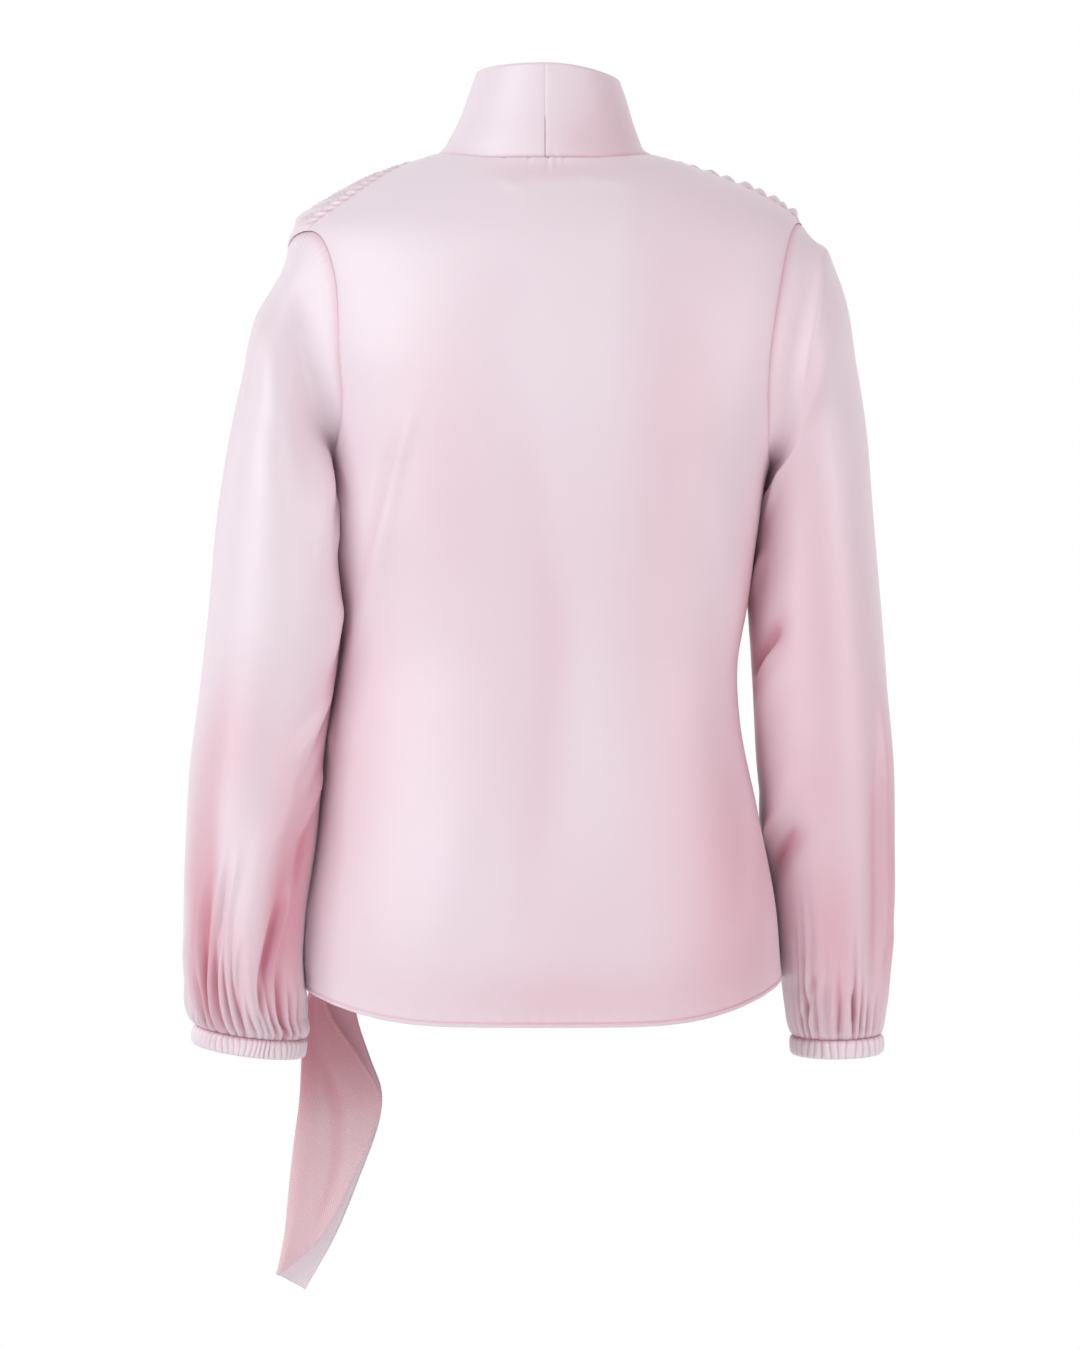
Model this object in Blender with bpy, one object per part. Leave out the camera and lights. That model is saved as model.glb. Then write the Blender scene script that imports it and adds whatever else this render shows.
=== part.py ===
"""A satin blouse, filled out with no wearer: back, gathered front, bishop sleeves, funnel collar.

Run it with blender --background --python part.py. Lengths in the tables are millimetres.
The origin is the middle of the neck. +Z is up, the front faces -Y and the wearer's left is +X.
"""
import math
from collections import namedtuple

import bmesh
import bpy
import numpy as np

METRE = 0.001

# Cloth and seams
WALL = 2.0
SEAM_GAP = 0.3
TIE_WALL = 1.6

# How finely the pieces are divided
ARMHOLE_STEPS = 16
BACK_STEPS = 16
FRONT_STEPS = 18
SLEEVE_FINE = 2
NORMAL_STEP = 0.05

# Levels of the body's surface, measured up from the hem
HEM_LEVEL = 0.0
ARMPIT_LEVEL = 412.0
SHOULDER_LEVEL = 582.0
NECK_LEVEL = 695.0
LOWER_LEVELS = (0.0, 30.0, 70.0, 110.0, 150.0, 190.0, 230.0, 275.0, 320.0, 362.0, 394.0)
UPPER_LEVELS = (600.0, 618.0, 634.0, 648.0, 660.0, 672.0, 684.0)

# Half widths run from the middle to the side, depths from the middle to the back or front.
# square is the outline's exponent, lift says how soon a row leaves its side height, and the
# seam columns turn the side and shoulder seams towards the back, in degrees.
Body = namedtuple("Body", "level left_z right_z left right back front back_z front_z"
                          " square lift left_seam right_seam")
BODY = (
    Body(0, -612, -609, 181, 175, 100, 110, -638, -636, 2.3, 9, 0, 0),
    Body(70, -556, -553, 178.5, 170.5, 104, 112, -572, -571, 2.3, 7, 0, 0),
    Body(150, -487, -485, 169, 157.5, 100, 108, -494, -494, 2.3, 5, 0, 0),
    Body(225, -416, -415, 162, 144, 91, 101, -418, -418, 2.3, 4, 0, 0),
    Body(265, -377, -377, 155, 142.5, 88, 99, -377, -378, 2.3, 4, 0, 0),
    Body(310, -332, -332, 154, 150, 91, 103, -331, -334, 2.3, 4, 0, 0),
    Body(360, -282, -281, 160, 157, 97, 109, -279, -285, 2.3, 4, 0, 0),
    Body(412, -230, -230, 158, 166, 102, 113, -225, -231, 2.3, 4, 0, 0),
    Body(450, -192, -189, 164, 182, 103.5, 112, -187, -198, 2.3, 4, 1.5, 0.5),
    Body(495, -148, -143, 178, 192, 102, 106, -145, -164, 2.3, 4, 4, 1),
    Body(540, -100, -92, 187, 196, 98, 97, -104, -130, 2.15, 4, 8, 2),
    Body(582, -57, -50, 188, 190, 90, 88, -68, -103, 2.0, 4, 11, 4),
    Body(618, -33, -30, 158, 163, 80, 80, -45, -82, 2.0, 4, 13, 4),
    Body(648, -17, -16, 129, 131, 71, 73, -29, -64, 2.0, 4, 11, 3),
    Body(672, -6, -6, 104, 105, 64.5, 67, -17, -48, 2.0, 4, 7, 2),
    Body(695, 2, 1, 80, 80, 60, 62, -6, -32, 2.0, 4, 0, 0),
)

# The armhole is an oval on the body's surface, widest below its middle
ARMHOLE_BACK = 19.0
ARMHOLE_FRONT = 22.0
ARMHOLE_SKEW = 0.25

# Columns of a panel crowd towards its sides, where the body turns fastest
SIDE_CROWDING = 0.42

# Folds die out over this share of a panel at each side, and above this level
CALM_SHARE = 0.17
CALM_LEVEL = 600.0

# Funnel collar, from the neck seam to its folded top edge
Collar = namedtuple("Collar", "rise left right back front left_z right_z back_z front_z")
COLLAR = (
    Collar(12, 72, 71.5, 57.5, 60, 10, 7, 7, -19),
    Collar(32, 63, 65.5, 54, 57, 27, 23, 26, -1),
    Collar(54, 55.5, 60, 51, 54, 48, 42, 47, 19),
    Collar(70, 50.5, 55, 49, 52, 63, 57, 64, 36),
)
COLLAR_RISES = (0, 5, 12, 24, 40, 56, 70)
COLLAR_EXIT = 9.0

# Sleeves: the outer and inner edge seen from behind, the middle's Y and the half depth.
# reach is the way down the sleeve from the armhole, and gather says how full it is there.
Sleeve = namedtuple("Sleeve", "reach outer outer_z inner inner_z middle depth gather")
LEFT_SLEEVE = (
    Sleeve(26, 201, -97, 166, -230, 6, 59, 0),
    Sleeve(52, 214, -121, 165, -242, 12, 62, 0),
    Sleeve(86, 223, -165, 160.5, -257, 20, 62, 0),
    Sleeve(124, 232, -210, 159, -278, 27, 62, 0),
    Sleeve(170, 241, -269, 155.5, -305, 29, 61, 0),
    Sleeve(220, 247, -335, 151, -340, 29, 60, 0),
    Sleeve(275, 254, -395, 157.5, -395, 25, 59, 0),
    Sleeve(330, 261, -450, 165.5, -450, 26, 59, 0),
    Sleeve(385, 264, -505, 169.8, -505, 28, 59, 0.15),
    Sleeve(440, 266, -560, 178.2, -560, 28, 58, 0.5),
    Sleeve(485, 266.5, -603, 180.9, -605, 27, 57, 0.9),
    Sleeve(512, 265, -626, 175, -633, 22, 52, 1),
    Sleeve(528, 262, -637, 173, -646, 18, 43, 0.8),
    Sleeve(538, 258, -641, 176, -652, 16, 33, 0.35),
)
RIGHT_SLEEVE = (
    Sleeve(26, 210, -71, 176, -230, 2, 58, 0),
    Sleeve(52, 223, -106, 172, -243, -4, 60, 0),
    Sleeve(86, 231, -150, 163.5, -256, -14, 62, 0),
    Sleeve(124, 239, -198, 158.8, -277, -20, 62, 0),
    Sleeve(170, 245, -269, 155.2, -306, -22, 62, 0),
    Sleeve(220, 251, -343, 152.5, -345, -18, 61, 0),
    Sleeve(275, 255, -402, 155, -402, -16, 60, 0),
    Sleeve(330, 258, -455, 158, -455, -18, 60, 0),
    Sleeve(385, 259, -505, 164.5, -505, -24, 59, 0.1),
    Sleeve(440, 259.5, -555, 171.5, -555, -28, 57, 0.35),
    Sleeve(485, 257.5, -603, 175.5, -603, -30, 54, 0.7),
    Sleeve(512, 255.5, -631, 179, -632, -32, 46, 0.9),
    Sleeve(528, 254, -645, 181, -645, -33, 38, 0.8),
    Sleeve(538, 252, -652, 184, -653, -34, 31, 0.35),
)
SLEEVE_REACHES = (0, 5, 10, 17, 26, 40, 60, 86, 118, 155, 195, 235, 275, 315, 355, 395)
GATHER_REACHES = (430, 460, 488, 507, 521, 531, 538)
FOREARM_LEAN = 0.09
LEAN_REACHES = (300, 500)
TOP_TWIST_LEFT = 20.0
TOP_TWIST_RIGHT = 10.0
TOP_TWIST_END = 150.0

GATHER_HEIGHT = 2.6

# Beside the armhole the sleeve runs on along the body, then rolls over to its first ring
ROLL_FULLNESS = 1.1

# Elastic cuffs hang from the sleeves' last rings
CUFF_HEIGHT = 14.0
CUFF_RIDGE = 1.6
CUFF_PROFILE = ((0.0, 0.3), (0.5, 1.0), (1.0, 0.3))
LEFT_RIDGES = 48
RIGHT_RIDGES = 32

# Gathers of the front into the shoulder seams
SHOULDER_GATHER = 3.6
GATHER_FADE = 24.0
SMALL_GATHER = 0.45
GATHER_ROWS = 3
GATHERS_START = 0.12
GATHERS_END = (0.74, 0.86)

# Soft folds: the start and end of a crest or trough, its half width and its height.
# On the body a place is an angle and a level, on a sleeve an angle and a reach.
Fold = namedtuple("Fold", "angle_a at_a angle_b at_b width height")
BACK_FOLDS = (
    Fold(38, 385, 8, 235, 11, 3.0),
    Fold(12, 330, 3, 150, 12, -2.0),
    Fold(9, 95, 10, 5, 9, 2.0),
    Fold(150, 400, 172, 250, 13, 2.0),
    Fold(168, 170, 160, 20, 16, 2.0),
    Fold(100, 330, 78, 40, 34, -2.0),
    Fold(60, 180, 45, 10, 26, 2.0),
)
FRONT_FOLDS = (
    Fold(-46, 215, -118, 470, 15, 4.2),
    Fold(-47, 195, -150, 360, 15, 4.2),
    Fold(-48, 175, -160, 240, 14, 4.5),
    Fold(-40, 235, -82, 500, 13, 4.0),
    Fold(-47, 155, -128, 90, 14, 4.0),
    Fold(-36, 150, -52, 15, 12, 3.0),
    Fold(-22, 300, -12, 120, 13, -2.0),
)
LEFT_FOLDS = (
    Fold(142, 0, 140, 190, 14, 8.0),
    Fold(78, 400, 66, 520, 9, -5.0),
    Fold(52, 395, 45, 520, 10, 4.0),
    Fold(108, 360, 98, 520, 11, 4.5),
    Fold(150, 300, 110, 400, 11, 4.0),
    Fold(160, 330, 140, 430, 9, -4.5),
    Fold(135, 430, 120, 520, 9, -4.0),
    Fold(185, 60, 150, 270, 14, 3.0),
    Fold(250, 330, 280, 520, 13, 4.5),
    Fold(300, 380, 318, 520, 12, -4.0),
    Fold(20, 420, 12, 520, 10, -3.5),
    Fold(215, 300, 250, 350, 11, -4.0),
    Fold(330, 120, 300, 300, 18, 3.0),
)
RIGHT_FOLDS = (
    Fold(228, 0, 226, 170, 14, 12.0),
    Fold(180, 270, 120, 215, 11, -4.5),
    Fold(172, 300, 128, 250, 12, 3.5),
    Fold(182, 400, 120, 330, 11, 4.0),
    Fold(178, 430, 110, 370, 10, -4.0),
    Fold(22, 250, 30, 520, 10, 4.5),
    Fold(42, 300, 50, 520, 10, -3.5),
    Fold(30, 455, 12, 520, 8, -3.5),
    Fold(110, 470, 140, 530, 10, 3.5),
    Fold(178, 100, 120, 60, 12, 3.0),
    Fold(250, 320, 285, 520, 13, 4.5),
    Fold(210, 290, 245, 330, 11, -4.0),
    Fold(310, 350, 325, 520, 12, -4.0),
)
SLEEVE_GIRTH = 52.0
BESIDE_BODY = 192.0
BESIDE_WIDTH = 34.0
HEAD_CALM = 40
END_CALM = 16
BODY_GIRTH = 140.0

# The tie: one folded strip, sewn on beside the left side seam and hanging past the hem.
# Each row runs from the near layer's edge round the fold to the far layer's edge.
Tie = namedtuple("Tie", "drop near near_z fold fold_z far far_z spread")
TIE = (
    Tie(0, 108, -446, 131, -446, 108, -446, 3.6),
    Tie(95, 124, -541, 149, -541, 123, -541, 3.8),
    Tie(190, 163, -638, 182, -643, 143, -641, 4.0),
    Tie(225, 139, -676, 183.5, -676, 132.6, -675.7, 5.0),
    Tie(255, 124.2, -704, 185, -705, 124.5, -699, 6.0),
    Tie(290, 131, -733, 189, -737, 126, -724, 6.0),
    Tie(330, 149, -773, 193, -775, 140, -764, 5.5),
    Tie(360, 168, -808, 196, -807, 158, -808, 4.5),
    Tie(390, 190, -828.5, 201.5, -836, 181, -849, 3.6),
)
TIE_DROPS = (0, 20, 50, 95, 140, 190, 225, 255, 272, 290, 310, 330, 345, 360, 375, 390)
TIE_TURN = 7
TIE_BELLY = 99.0
TIE_SWEEP = 230.0
TIE_FREE = 4.0
TIE_ANGLE = -33.0
TIE_LEVEL = 185.0
TIE_CALM_TURN = 12.0
TIE_CALM_RISE = 45.0
TIE_NOSE = 5.0
TIE_SQUARE = 2.3
TIE_CLEARS = 30.0
TIE_LEAVES = (20, 130)
TIE_CROWDING = 1.5
TIE_STEP = 0.004

Finish = namedtuple("Finish", "colour roughness metallic")
SATIN = Finish((0.80, 0.66, 0.71, 1.0), 0.36, 0.0)
REVERSE = Finish((0.72, 0.52, 0.56, 1.0), 0.7, 0.0)


def clear_scene():
    for thing in list(bpy.data.objects):
        bpy.data.objects.remove(thing, do_unlink=True)


def material(name, finish):
    made = bpy.data.materials.new(name)
    made.use_nodes = True
    shader = made.node_tree.nodes["Principled BSDF"]
    shader.inputs["Base Color"].default_value = finish.colour
    shader.inputs["Roughness"].default_value = finish.roughness
    shader.inputs["Metallic"].default_value = finish.metallic
    return made


def smooth_read(stations, rows, at):
    """A smooth curve through one row of values a station, read at any places."""
    stations = np.asarray(stations, float)
    rows = np.asarray(rows, float)
    at = np.clip(np.asarray(at, float), stations[0], stations[-1])
    slopes = np.gradient(rows, stations, axis=0)
    i = np.clip(np.searchsorted(stations, at, side="right") - 1, 0, len(stations) - 2)
    step = (stations[i + 1] - stations[i])[..., None]
    u = (at - stations[i])[..., None] / step
    start = (1 + 2 * u) * (1 - u) ** 2 * rows[i] + u * (1 - u) ** 2 * step * slopes[i]
    end = u * u * (3 - 2 * u) * rows[i + 1] + u * u * (u - 1) * step * slopes[i + 1]
    return start + end


def read_table(table, at):
    """Every column of a table of named rows, read smoothly at the given places."""
    stations = [row[0] for row in table]
    values = smooth_read(stations, [row[1:] for row in table], at)
    return dict(zip(table[0]._fields[1:], np.moveaxis(values, -1, 0)))


def unit(vectors):
    return vectors / np.linalg.norm(vectors, axis=-1, keepdims=True)


def smooth_step(low, high, value):
    u = np.clip((value - low) / (high - low), 0, 1)
    return u * u * (3 - 2 * u)


def ring_point(turn, half_left, half_right, back, front, square):
    """The polar form of a rounded box outline, so its slope never jumps."""
    cosine, sine = np.cos(turn), np.sin(turn)
    half = np.where(cosine >= 0, half_left, half_right)
    depth = np.where(sine >= 0, back, front)
    size = (np.abs(cosine / half) ** square + np.abs(sine / depth) ** square) ** (-1 / square)
    return size * cosine, size * sine


def body_point(angle, level):
    """The outer surface of the body. Angle 0 is the left seam, 90 the middle of the back."""
    angle, level = np.broadcast_arrays(np.asarray(angle, float), np.asarray(level, float))
    row = read_table(BODY, level)
    flat = np.radians(angle)
    seam = np.where(np.cos(flat) >= 0, row["left_seam"], -row["right_seam"])
    turn = flat + np.radians(seam) * np.cos(flat) ** 2
    x, y = ring_point(turn, row["left"], row["right"], row["back"], row["front"], row["square"])
    side_z = np.where(np.cos(turn) >= 0, row["left_z"], row["right_z"])
    middle_z = np.where(np.sin(turn) >= 0, row["back_z"], row["front_z"])
    side = np.abs(np.cos(turn)) ** row["lift"]
    return np.stack([x, y, middle_z + (side_z - middle_z) * side], axis=-1)


def surface_normal(surface, a, b, step_a, step_b, outward):
    """The outward unit normal of a surface, from small steps both ways."""
    along = surface(a + step_a, b) - surface(a - step_a, b)
    across = surface(a, b + step_b) - surface(a, b - step_b)
    normal = unit(np.cross(along, across))
    return normal * outward


def body_normal(angle, level):
    level = np.clip(level, HEM_LEVEL + NORMAL_STEP, NECK_LEVEL - NORMAL_STEP)
    return surface_normal(body_point, angle, level, NORMAL_STEP, NORMAL_STEP, 1.0)


def armhole(turn, side):
    """Where the armhole runs: turn 0 is the shoulder, 90 the back, 180 the armpit."""
    turn = np.asarray(turn, float)
    rise = np.radians(np.where(turn <= 180, 180 - turn, turn - 180))
    width = np.where(turn <= 180, ARMHOLE_BACK, -ARMHOLE_FRONT)
    angle = width * np.sin(rise) * (1 + ARMHOLE_SKEW * np.cos(rise))
    level = ARMPIT_LEVEL + (SHOULDER_LEVEL - ARMPIT_LEVEL) * (1 - np.cos(rise)) / 2
    return (angle if side > 0 else 180 - angle), level


def fold_height(folds, angle, at, girth):
    """The sum of the soft crests and troughs at a place on a surface."""
    total = np.zeros(np.broadcast(angle, at).shape)
    for fold in folds:
        run_x = (fold.angle_b - fold.angle_a) * math.radians(girth)
        run_y = fold.at_b - fold.at_a
        away = (np.asarray(angle) - fold.angle_a + 180) % 360 - 180
        x = away * math.radians(girth)
        y = at - fold.at_a
        length = math.hypot(run_x, run_y)
        along = (x * run_x + y * run_y) / length ** 2
        aside = (x * run_y - y * run_x) / length
        fade = np.exp(-((along - 0.5) / 0.42) ** 4)
        total = total + fold.height * fade * np.exp(-(aside / fold.width) ** 2)
    return total


class Wall:
    """A cloth wall between an outer and an inner sheet of points, closed along its rims."""

    def __init__(self):
        self.mesh = bmesh.new()

    def ring(self, points):
        return [self.mesh.verts.new(point * METRE) for point in points]

    def strip(self, low, high, closed):
        """Faces between two rows, where the higher row may be a whole multiple finer."""
        ratio = round(len(high) / len(low)) if closed else 1
        count = len(low) if closed else len(low) - 1
        for i in range(count):
            a, b = low[i], low[(i + 1) % len(low)]
            fine = [high[(i * ratio + k) % len(high)] for k in range(ratio + 1)]
            half = ratio // 2
            if ratio == 1:
                self.mesh.faces.new((a, b, fine[1], fine[0]))
                continue
            for k in range(half):
                self.mesh.faces.new((a, fine[k + 1], fine[k]))
            self.mesh.faces.new((a, b, fine[half]))
            for k in range(half, ratio):
                self.mesh.faces.new((b, fine[k + 1], fine[k]))

    def sheets(self, outer, inner, closed):
        """Lay the rows of both sheets, join them along every open edge and face them out."""
        outside = [self.ring(row) for row in outer]
        inside = [self.ring(row) for row in inner]
        for k in range(len(outside) - 1):
            self.strip(outside[k], outside[k + 1], closed)
            self.strip(inside[k], inside[k + 1], closed)
        for row_out, row_in in ((outside[0], inside[0]), (outside[-1], inside[-1])):
            self.strip(row_out, row_in, closed)
        if not closed:
            for edge in (0, -1):
                self.strip([row[edge] for row in outside], [row[edge] for row in inside], False)

    def build(self, name, finish):
        bmesh.ops.recalc_face_normals(self.mesh, faces=self.mesh.faces)
        if self.mesh.calc_volume(signed=True) < 0:
            bmesh.ops.reverse_faces(self.mesh, faces=self.mesh.faces)
        bmesh.ops.triangulate(self.mesh, faces=self.mesh.faces)
        data = bpy.data.meshes.new(name)
        self.mesh.to_mesh(data)
        self.mesh.free()
        data.shade_smooth()
        data.materials.append(material(name, finish))
        piece = bpy.data.objects.new(name, data)
        bpy.context.scene.collection.objects.link(piece)
        return piece


def edge_shift(points, normals, edge, interior):
    """Half the seam gap, along the surface and into the piece, for one boundary row."""
    tangent = np.gradient(points[edge], axis=0)
    inward = points[interior] - points[edge]
    across = unit(np.cross(normals[edge], tangent))
    facing = np.sign(np.sum(across * inward, axis=-1, keepdims=True))
    return across * facing * SEAM_GAP / 2


def panel_levels():
    """Levels of the rows, closer together at the ends of the armhole."""
    rise = np.pi * np.arange(ARMHOLE_STEPS + 1) / ARMHOLE_STEPS
    in_armhole = ARMPIT_LEVEL + (SHOULDER_LEVEL - ARMPIT_LEVEL) * (1 - np.cos(rise)) / 2
    return np.concatenate([LOWER_LEVELS, in_armhole, UPPER_LEVELS, [NECK_LEVEL]])


def panel_edges(levels, front):
    """The angle of the left and right edge of the back or front at each level."""
    height = np.clip((levels - ARMPIT_LEVEL) / (SHOULDER_LEVEL - ARMPIT_LEVEL), 0, 1)
    rise = np.degrees(np.arccos(1 - 2 * height))
    turn = 180 + rise if front else 180 - rise
    left = armhole(turn, 1)[0]
    right = armhole(turn, -1)[0]
    return left, (right - 360 if front else right)


def crowded(steps):
    """Shares of the way across a panel, closer together at both ends."""
    share = np.linspace(0, 1, steps + 1)
    return share - SIDE_CROWDING * np.sin(2 * np.pi * share) / (2 * np.pi)


def panel_grid(front, steps):
    """Angles and levels of a panel's points, rows from the hem up, columns from the left."""
    levels = panel_levels()
    left, right = panel_edges(levels, front)
    angle = left[:, None] + (right - left)[:, None] * crowded(steps)
    return angle, np.broadcast_to(levels[:, None], angle.shape)


def panel_base(front, steps):
    """Surface points and normals of a panel, with its edges drawn back from the seams."""
    angle, level = panel_grid(front, steps)
    points = body_point(angle, level)
    normals = body_normal(angle, level)
    count = len(points)
    armpit = len(LOWER_LEVELS)
    shoulder = armpit + ARMHOLE_STEPS
    shift = np.zeros_like(points)
    for edge, inside in ((0, 1), (-1, -2)):
        for low, high in ((0, armpit), (armpit, shoulder), (shoulder, count - 1)):
            part = (slice(low, high + 1), edge)
            near = (slice(low, high + 1), inside)
            shift[part] = shift[part] + edge_shift(points, normals, part, near)
    shift[-1] = shift[-1] + edge_shift(points, normals, -1, -2)
    return angle, level, points + shift, normals


def shoulder_gathers(angle, level, row_phase):
    """Gathers of the front into each shoulder seam, fading down the front."""
    rise = (level - SHOULDER_LEVEL) / (NECK_LEVEL - SHOULDER_LEVEL)
    inside = smooth_step(0, GATHERS_START, rise) * (1 - smooth_step(*GATHERS_END, rise))
    left_wave = np.where(row_phase % 2 == 1, 1.0, 0.0)
    right_wave = np.select([row_phase % 3 == 1, row_phase % 3 == 2], [1.0, SMALL_GATHER], 0.0)
    left_fade = np.exp(-np.abs(angle) / GATHER_FADE)
    right_fade = np.exp(-np.abs(angle + 180) / GATHER_FADE)
    height = left_wave * left_fade + right_wave * right_fade
    return SHOULDER_GATHER * height * inside


def between_rows(grid, row, count):
    """Rows laid straight between two neighbours, so both panels share the seam's edges."""
    share = np.arange(1, count)[:, None, None] / count
    if grid.ndim == 2:
        share = share[..., 0]
    return grid[row] + (grid[row + 1] - grid[row]) * share


def make_back():
    angle, level, base, normal = panel_base(False, BACK_STEPS)
    height = fold_height(BACK_FOLDS, angle, level, BODY_GIRTH) * edge_calm(angle.shape, level)
    outer = base + normal * height[..., None]
    wall = Wall()
    wall.sheets(outer, outer - normal * WALL, False)
    return wall.build("back", SATIN)


def edge_calm(shape, level):
    """Folds die out towards a panel's own edges, where the pieces meet."""
    share = np.broadcast_to(np.linspace(0, 1, shape[1]), shape)
    sides = smooth_step(0, CALM_SHARE, share) * (1 - smooth_step(1 - CALM_SHARE, 1, share))
    return sides * (1 - smooth_step(CALM_LEVEL, NECK_LEVEL, level))


def tie_calm(angle, level):
    """The front lies smooth where the tie is sewn on."""
    aside = (angle - TIE_ANGLE) / TIE_CALM_TURN
    above = (level - TIE_LEVEL) / TIE_CALM_RISE
    return 1 - np.exp(-aside ** 2 - above ** 2)


def make_front():
    angle, level, base, normal = panel_base(True, FRONT_STEPS)
    shoulder = len(LOWER_LEVELS) + ARMHOLE_STEPS
    angle, level, base, normal = [
        np.concatenate([grid[:shoulder]] + [
            np.concatenate([grid[row:row + 1], between_rows(grid, row, GATHER_ROWS)])
            for row in range(shoulder, len(grid) - 1)] + [grid[-1:]])
        for grid in (angle, level, base, normal)]
    normal = unit(normal)
    phase = np.maximum(np.arange(len(angle)) - shoulder, 0)[:, None]
    height = fold_height(FRONT_FOLDS, angle, level, BODY_GIRTH) * edge_calm(angle.shape, level)
    height = height * tie_calm(angle, level)
    height = height + shoulder_gathers(angle, level, phase)
    outer = base + normal * height[..., None]
    wall = Wall()
    wall.sheets(outer, outer - normal * WALL, False)
    return wall.build("front", SATIN)


def armhole_frame(turn, side):
    """Points, normals and the way out of the armhole, along the body's surface."""
    angle, level = armhole(turn, side)
    points = body_point(angle, level)
    normals = body_normal(angle, level)
    ahead = body_point(*armhole((turn + 0.5) % 360, side))
    behind = body_point(*armhole((turn - 0.5) % 360, side))
    way = unit(np.cross(normals, ahead - behind)) * -side
    return points, normals, way


def sleeve_ring(row, turn, side):
    """One guide ring of a sleeve, an oval through its outer and inner edge."""
    twist = (TOP_TWIST_LEFT if side > 0 else TOP_TWIST_RIGHT) * row["twist"]
    around = np.radians(turn + twist * (1 + np.cos(np.radians(turn))) / 2)
    x = (row["outer"] + row["inner"]) / 2 + (row["outer"] - row["inner"]) / 2 * np.cos(around)
    z = (row["outer_z"] + row["inner_z"]) / 2
    z = z + (row["outer_z"] - row["inner_z"]) / 2 * np.cos(around)
    y = row["depth"] * np.sin(around)
    z = z - row["lean"] * y
    return np.stack([x * side, row["middle"] + y, z], axis=-1)


def sleeve_row(table, reach):
    row = read_table(table, reach)
    row["lean"] = FOREARM_LEAN * smooth_step(*LEAN_REACHES, reach)
    row["twist"] = 1 - smooth_step(table[0].reach, TOP_TWIST_END, reach)
    return row


def hermite(u, start, start_slope, end, end_slope):
    u = u[..., None]
    value = (1 + 2 * u) * (1 - u) ** 2 * start + u * (1 - u) ** 2 * start_slope
    return value + u * u * (3 - 2 * u) * end + u * u * (u - 1) * end_slope


def sleeve_point(table, side, turn, reach):
    """The smooth sleeve: out of the armhole along the body, then through its guide rings."""
    turn, reach = np.broadcast_arrays(np.asarray(turn, float), np.asarray(reach, float))
    start, _, way = armhole_frame(turn % 360, side)
    joined = float(table[0].reach)
    end = sleeve_ring(sleeve_row(table, np.full(reach.shape, joined)), turn, side)
    ahead = sleeve_ring(sleeve_row(table, np.full(reach.shape, joined + 1)), turn, side)
    span = end - start
    length = np.linalg.norm(span, axis=-1, keepdims=True)
    bend = np.arccos(np.clip(np.sum(way * span, axis=-1, keepdims=True) / length, -0.9, 0.999))
    aside = unit(span - way * np.sum(way * span, axis=-1, keepdims=True))
    half = length / (2 * np.cos(bend / 2))
    roll = start + half * (way * np.cos(bend / 2) + aside * np.sin(bend / 2))
    along = span / length * half * ROLL_FULLNESS
    middle = joined / 2
    first_part = hermite(np.clip(reach / middle, 0, 1), start, way * half * ROLL_FULLNESS,
                         roll, along)
    last_part = hermite(np.clip((reach - middle) / middle, 0, 1), roll, along, end,
                        unit(ahead - end) * half * ROLL_FULLNESS)
    guide = sleeve_ring(sleeve_row(table, np.maximum(reach, joined)), turn, side)
    near = np.where((reach < middle)[..., None], first_part, last_part)
    return np.where((reach < joined)[..., None], near, guide)


def sleeve_normal(table, side, turn, reach):
    last = table[-1].reach

    def surface(a, b):
        return sleeve_point(table, side, a, b)

    inner = np.clip(reach, NORMAL_STEP, last - NORMAL_STEP)
    normal = surface_normal(surface, turn, inner, NORMAL_STEP, NORMAL_STEP, -side)
    _, at_armhole, _ = armhole_frame(np.asarray(turn, float) % 360, side)
    return np.where((np.asarray(reach) <= 0)[..., None], at_armhole, normal)


def sleeve_calm(table, turn, reach):
    """Folds die out at both seams, and where the sleeve lies close beside the body."""
    last = table[-1].reach
    ends = smooth_step(0, HEAD_CALM, reach) * (1 - smooth_step(last - END_CALM, last, reach))
    beside = np.exp(-((turn - BESIDE_BODY) / BESIDE_WIDTH) ** 2)
    return ends * (1 - beside)


def make_sleeve(name, table, folds, side):
    outer, inner = [], []
    coarse = 2 * ARMHOLE_STEPS
    last = table[-1].reach
    for reach in SLEEVE_REACHES + GATHER_REACHES:
        count = coarse if reach < GATHER_REACHES[0] else coarse * SLEEVE_FINE
        turn = np.arange(count) * 360 / count
        at = np.full(count, float(reach))
        base = sleeve_point(table, side, turn, at)
        normal = sleeve_normal(table, side, turn, at)
        if reach == 0:
            base = base + armhole_frame(turn, side)[2] * SEAM_GAP / 2
        height = fold_height(folds, turn, at, SLEEVE_GIRTH) * sleeve_calm(table, turn, at)
        if count > coarse:
            row = sleeve_row(table, at)
            crest = np.where(np.arange(count) % 2 == 0, 1.0, 0.0)
            height = height + GATHER_HEIGHT * (crest - 1) * row["gather"]
        if reach == last:
            axis, normal = cuff_frame(base, table, side)
            base = base - axis * SEAM_GAP / 2
        outer.append(base + normal * height[:, None])
        inner.append(outer[-1] - normal * WALL)
    wall = Wall()
    wall.sheets(outer, inner, True)
    return wall.build(name, SATIN)


def cuff_frame(ring, table, side):
    """The way out of the sleeve's last ring, and the ring's own outward directions."""
    end = table[-1]
    across = np.array([(end.outer - end.inner) * side, 0.0, end.outer_z - end.inner_z])
    axis = unit(np.cross(np.array([0.0, side, -FOREARM_LEAN * side]), across))
    radial = ring - ring.mean(axis=0)
    radial = unit(radial - np.outer(radial @ axis, axis))
    return axis, radial


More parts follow.
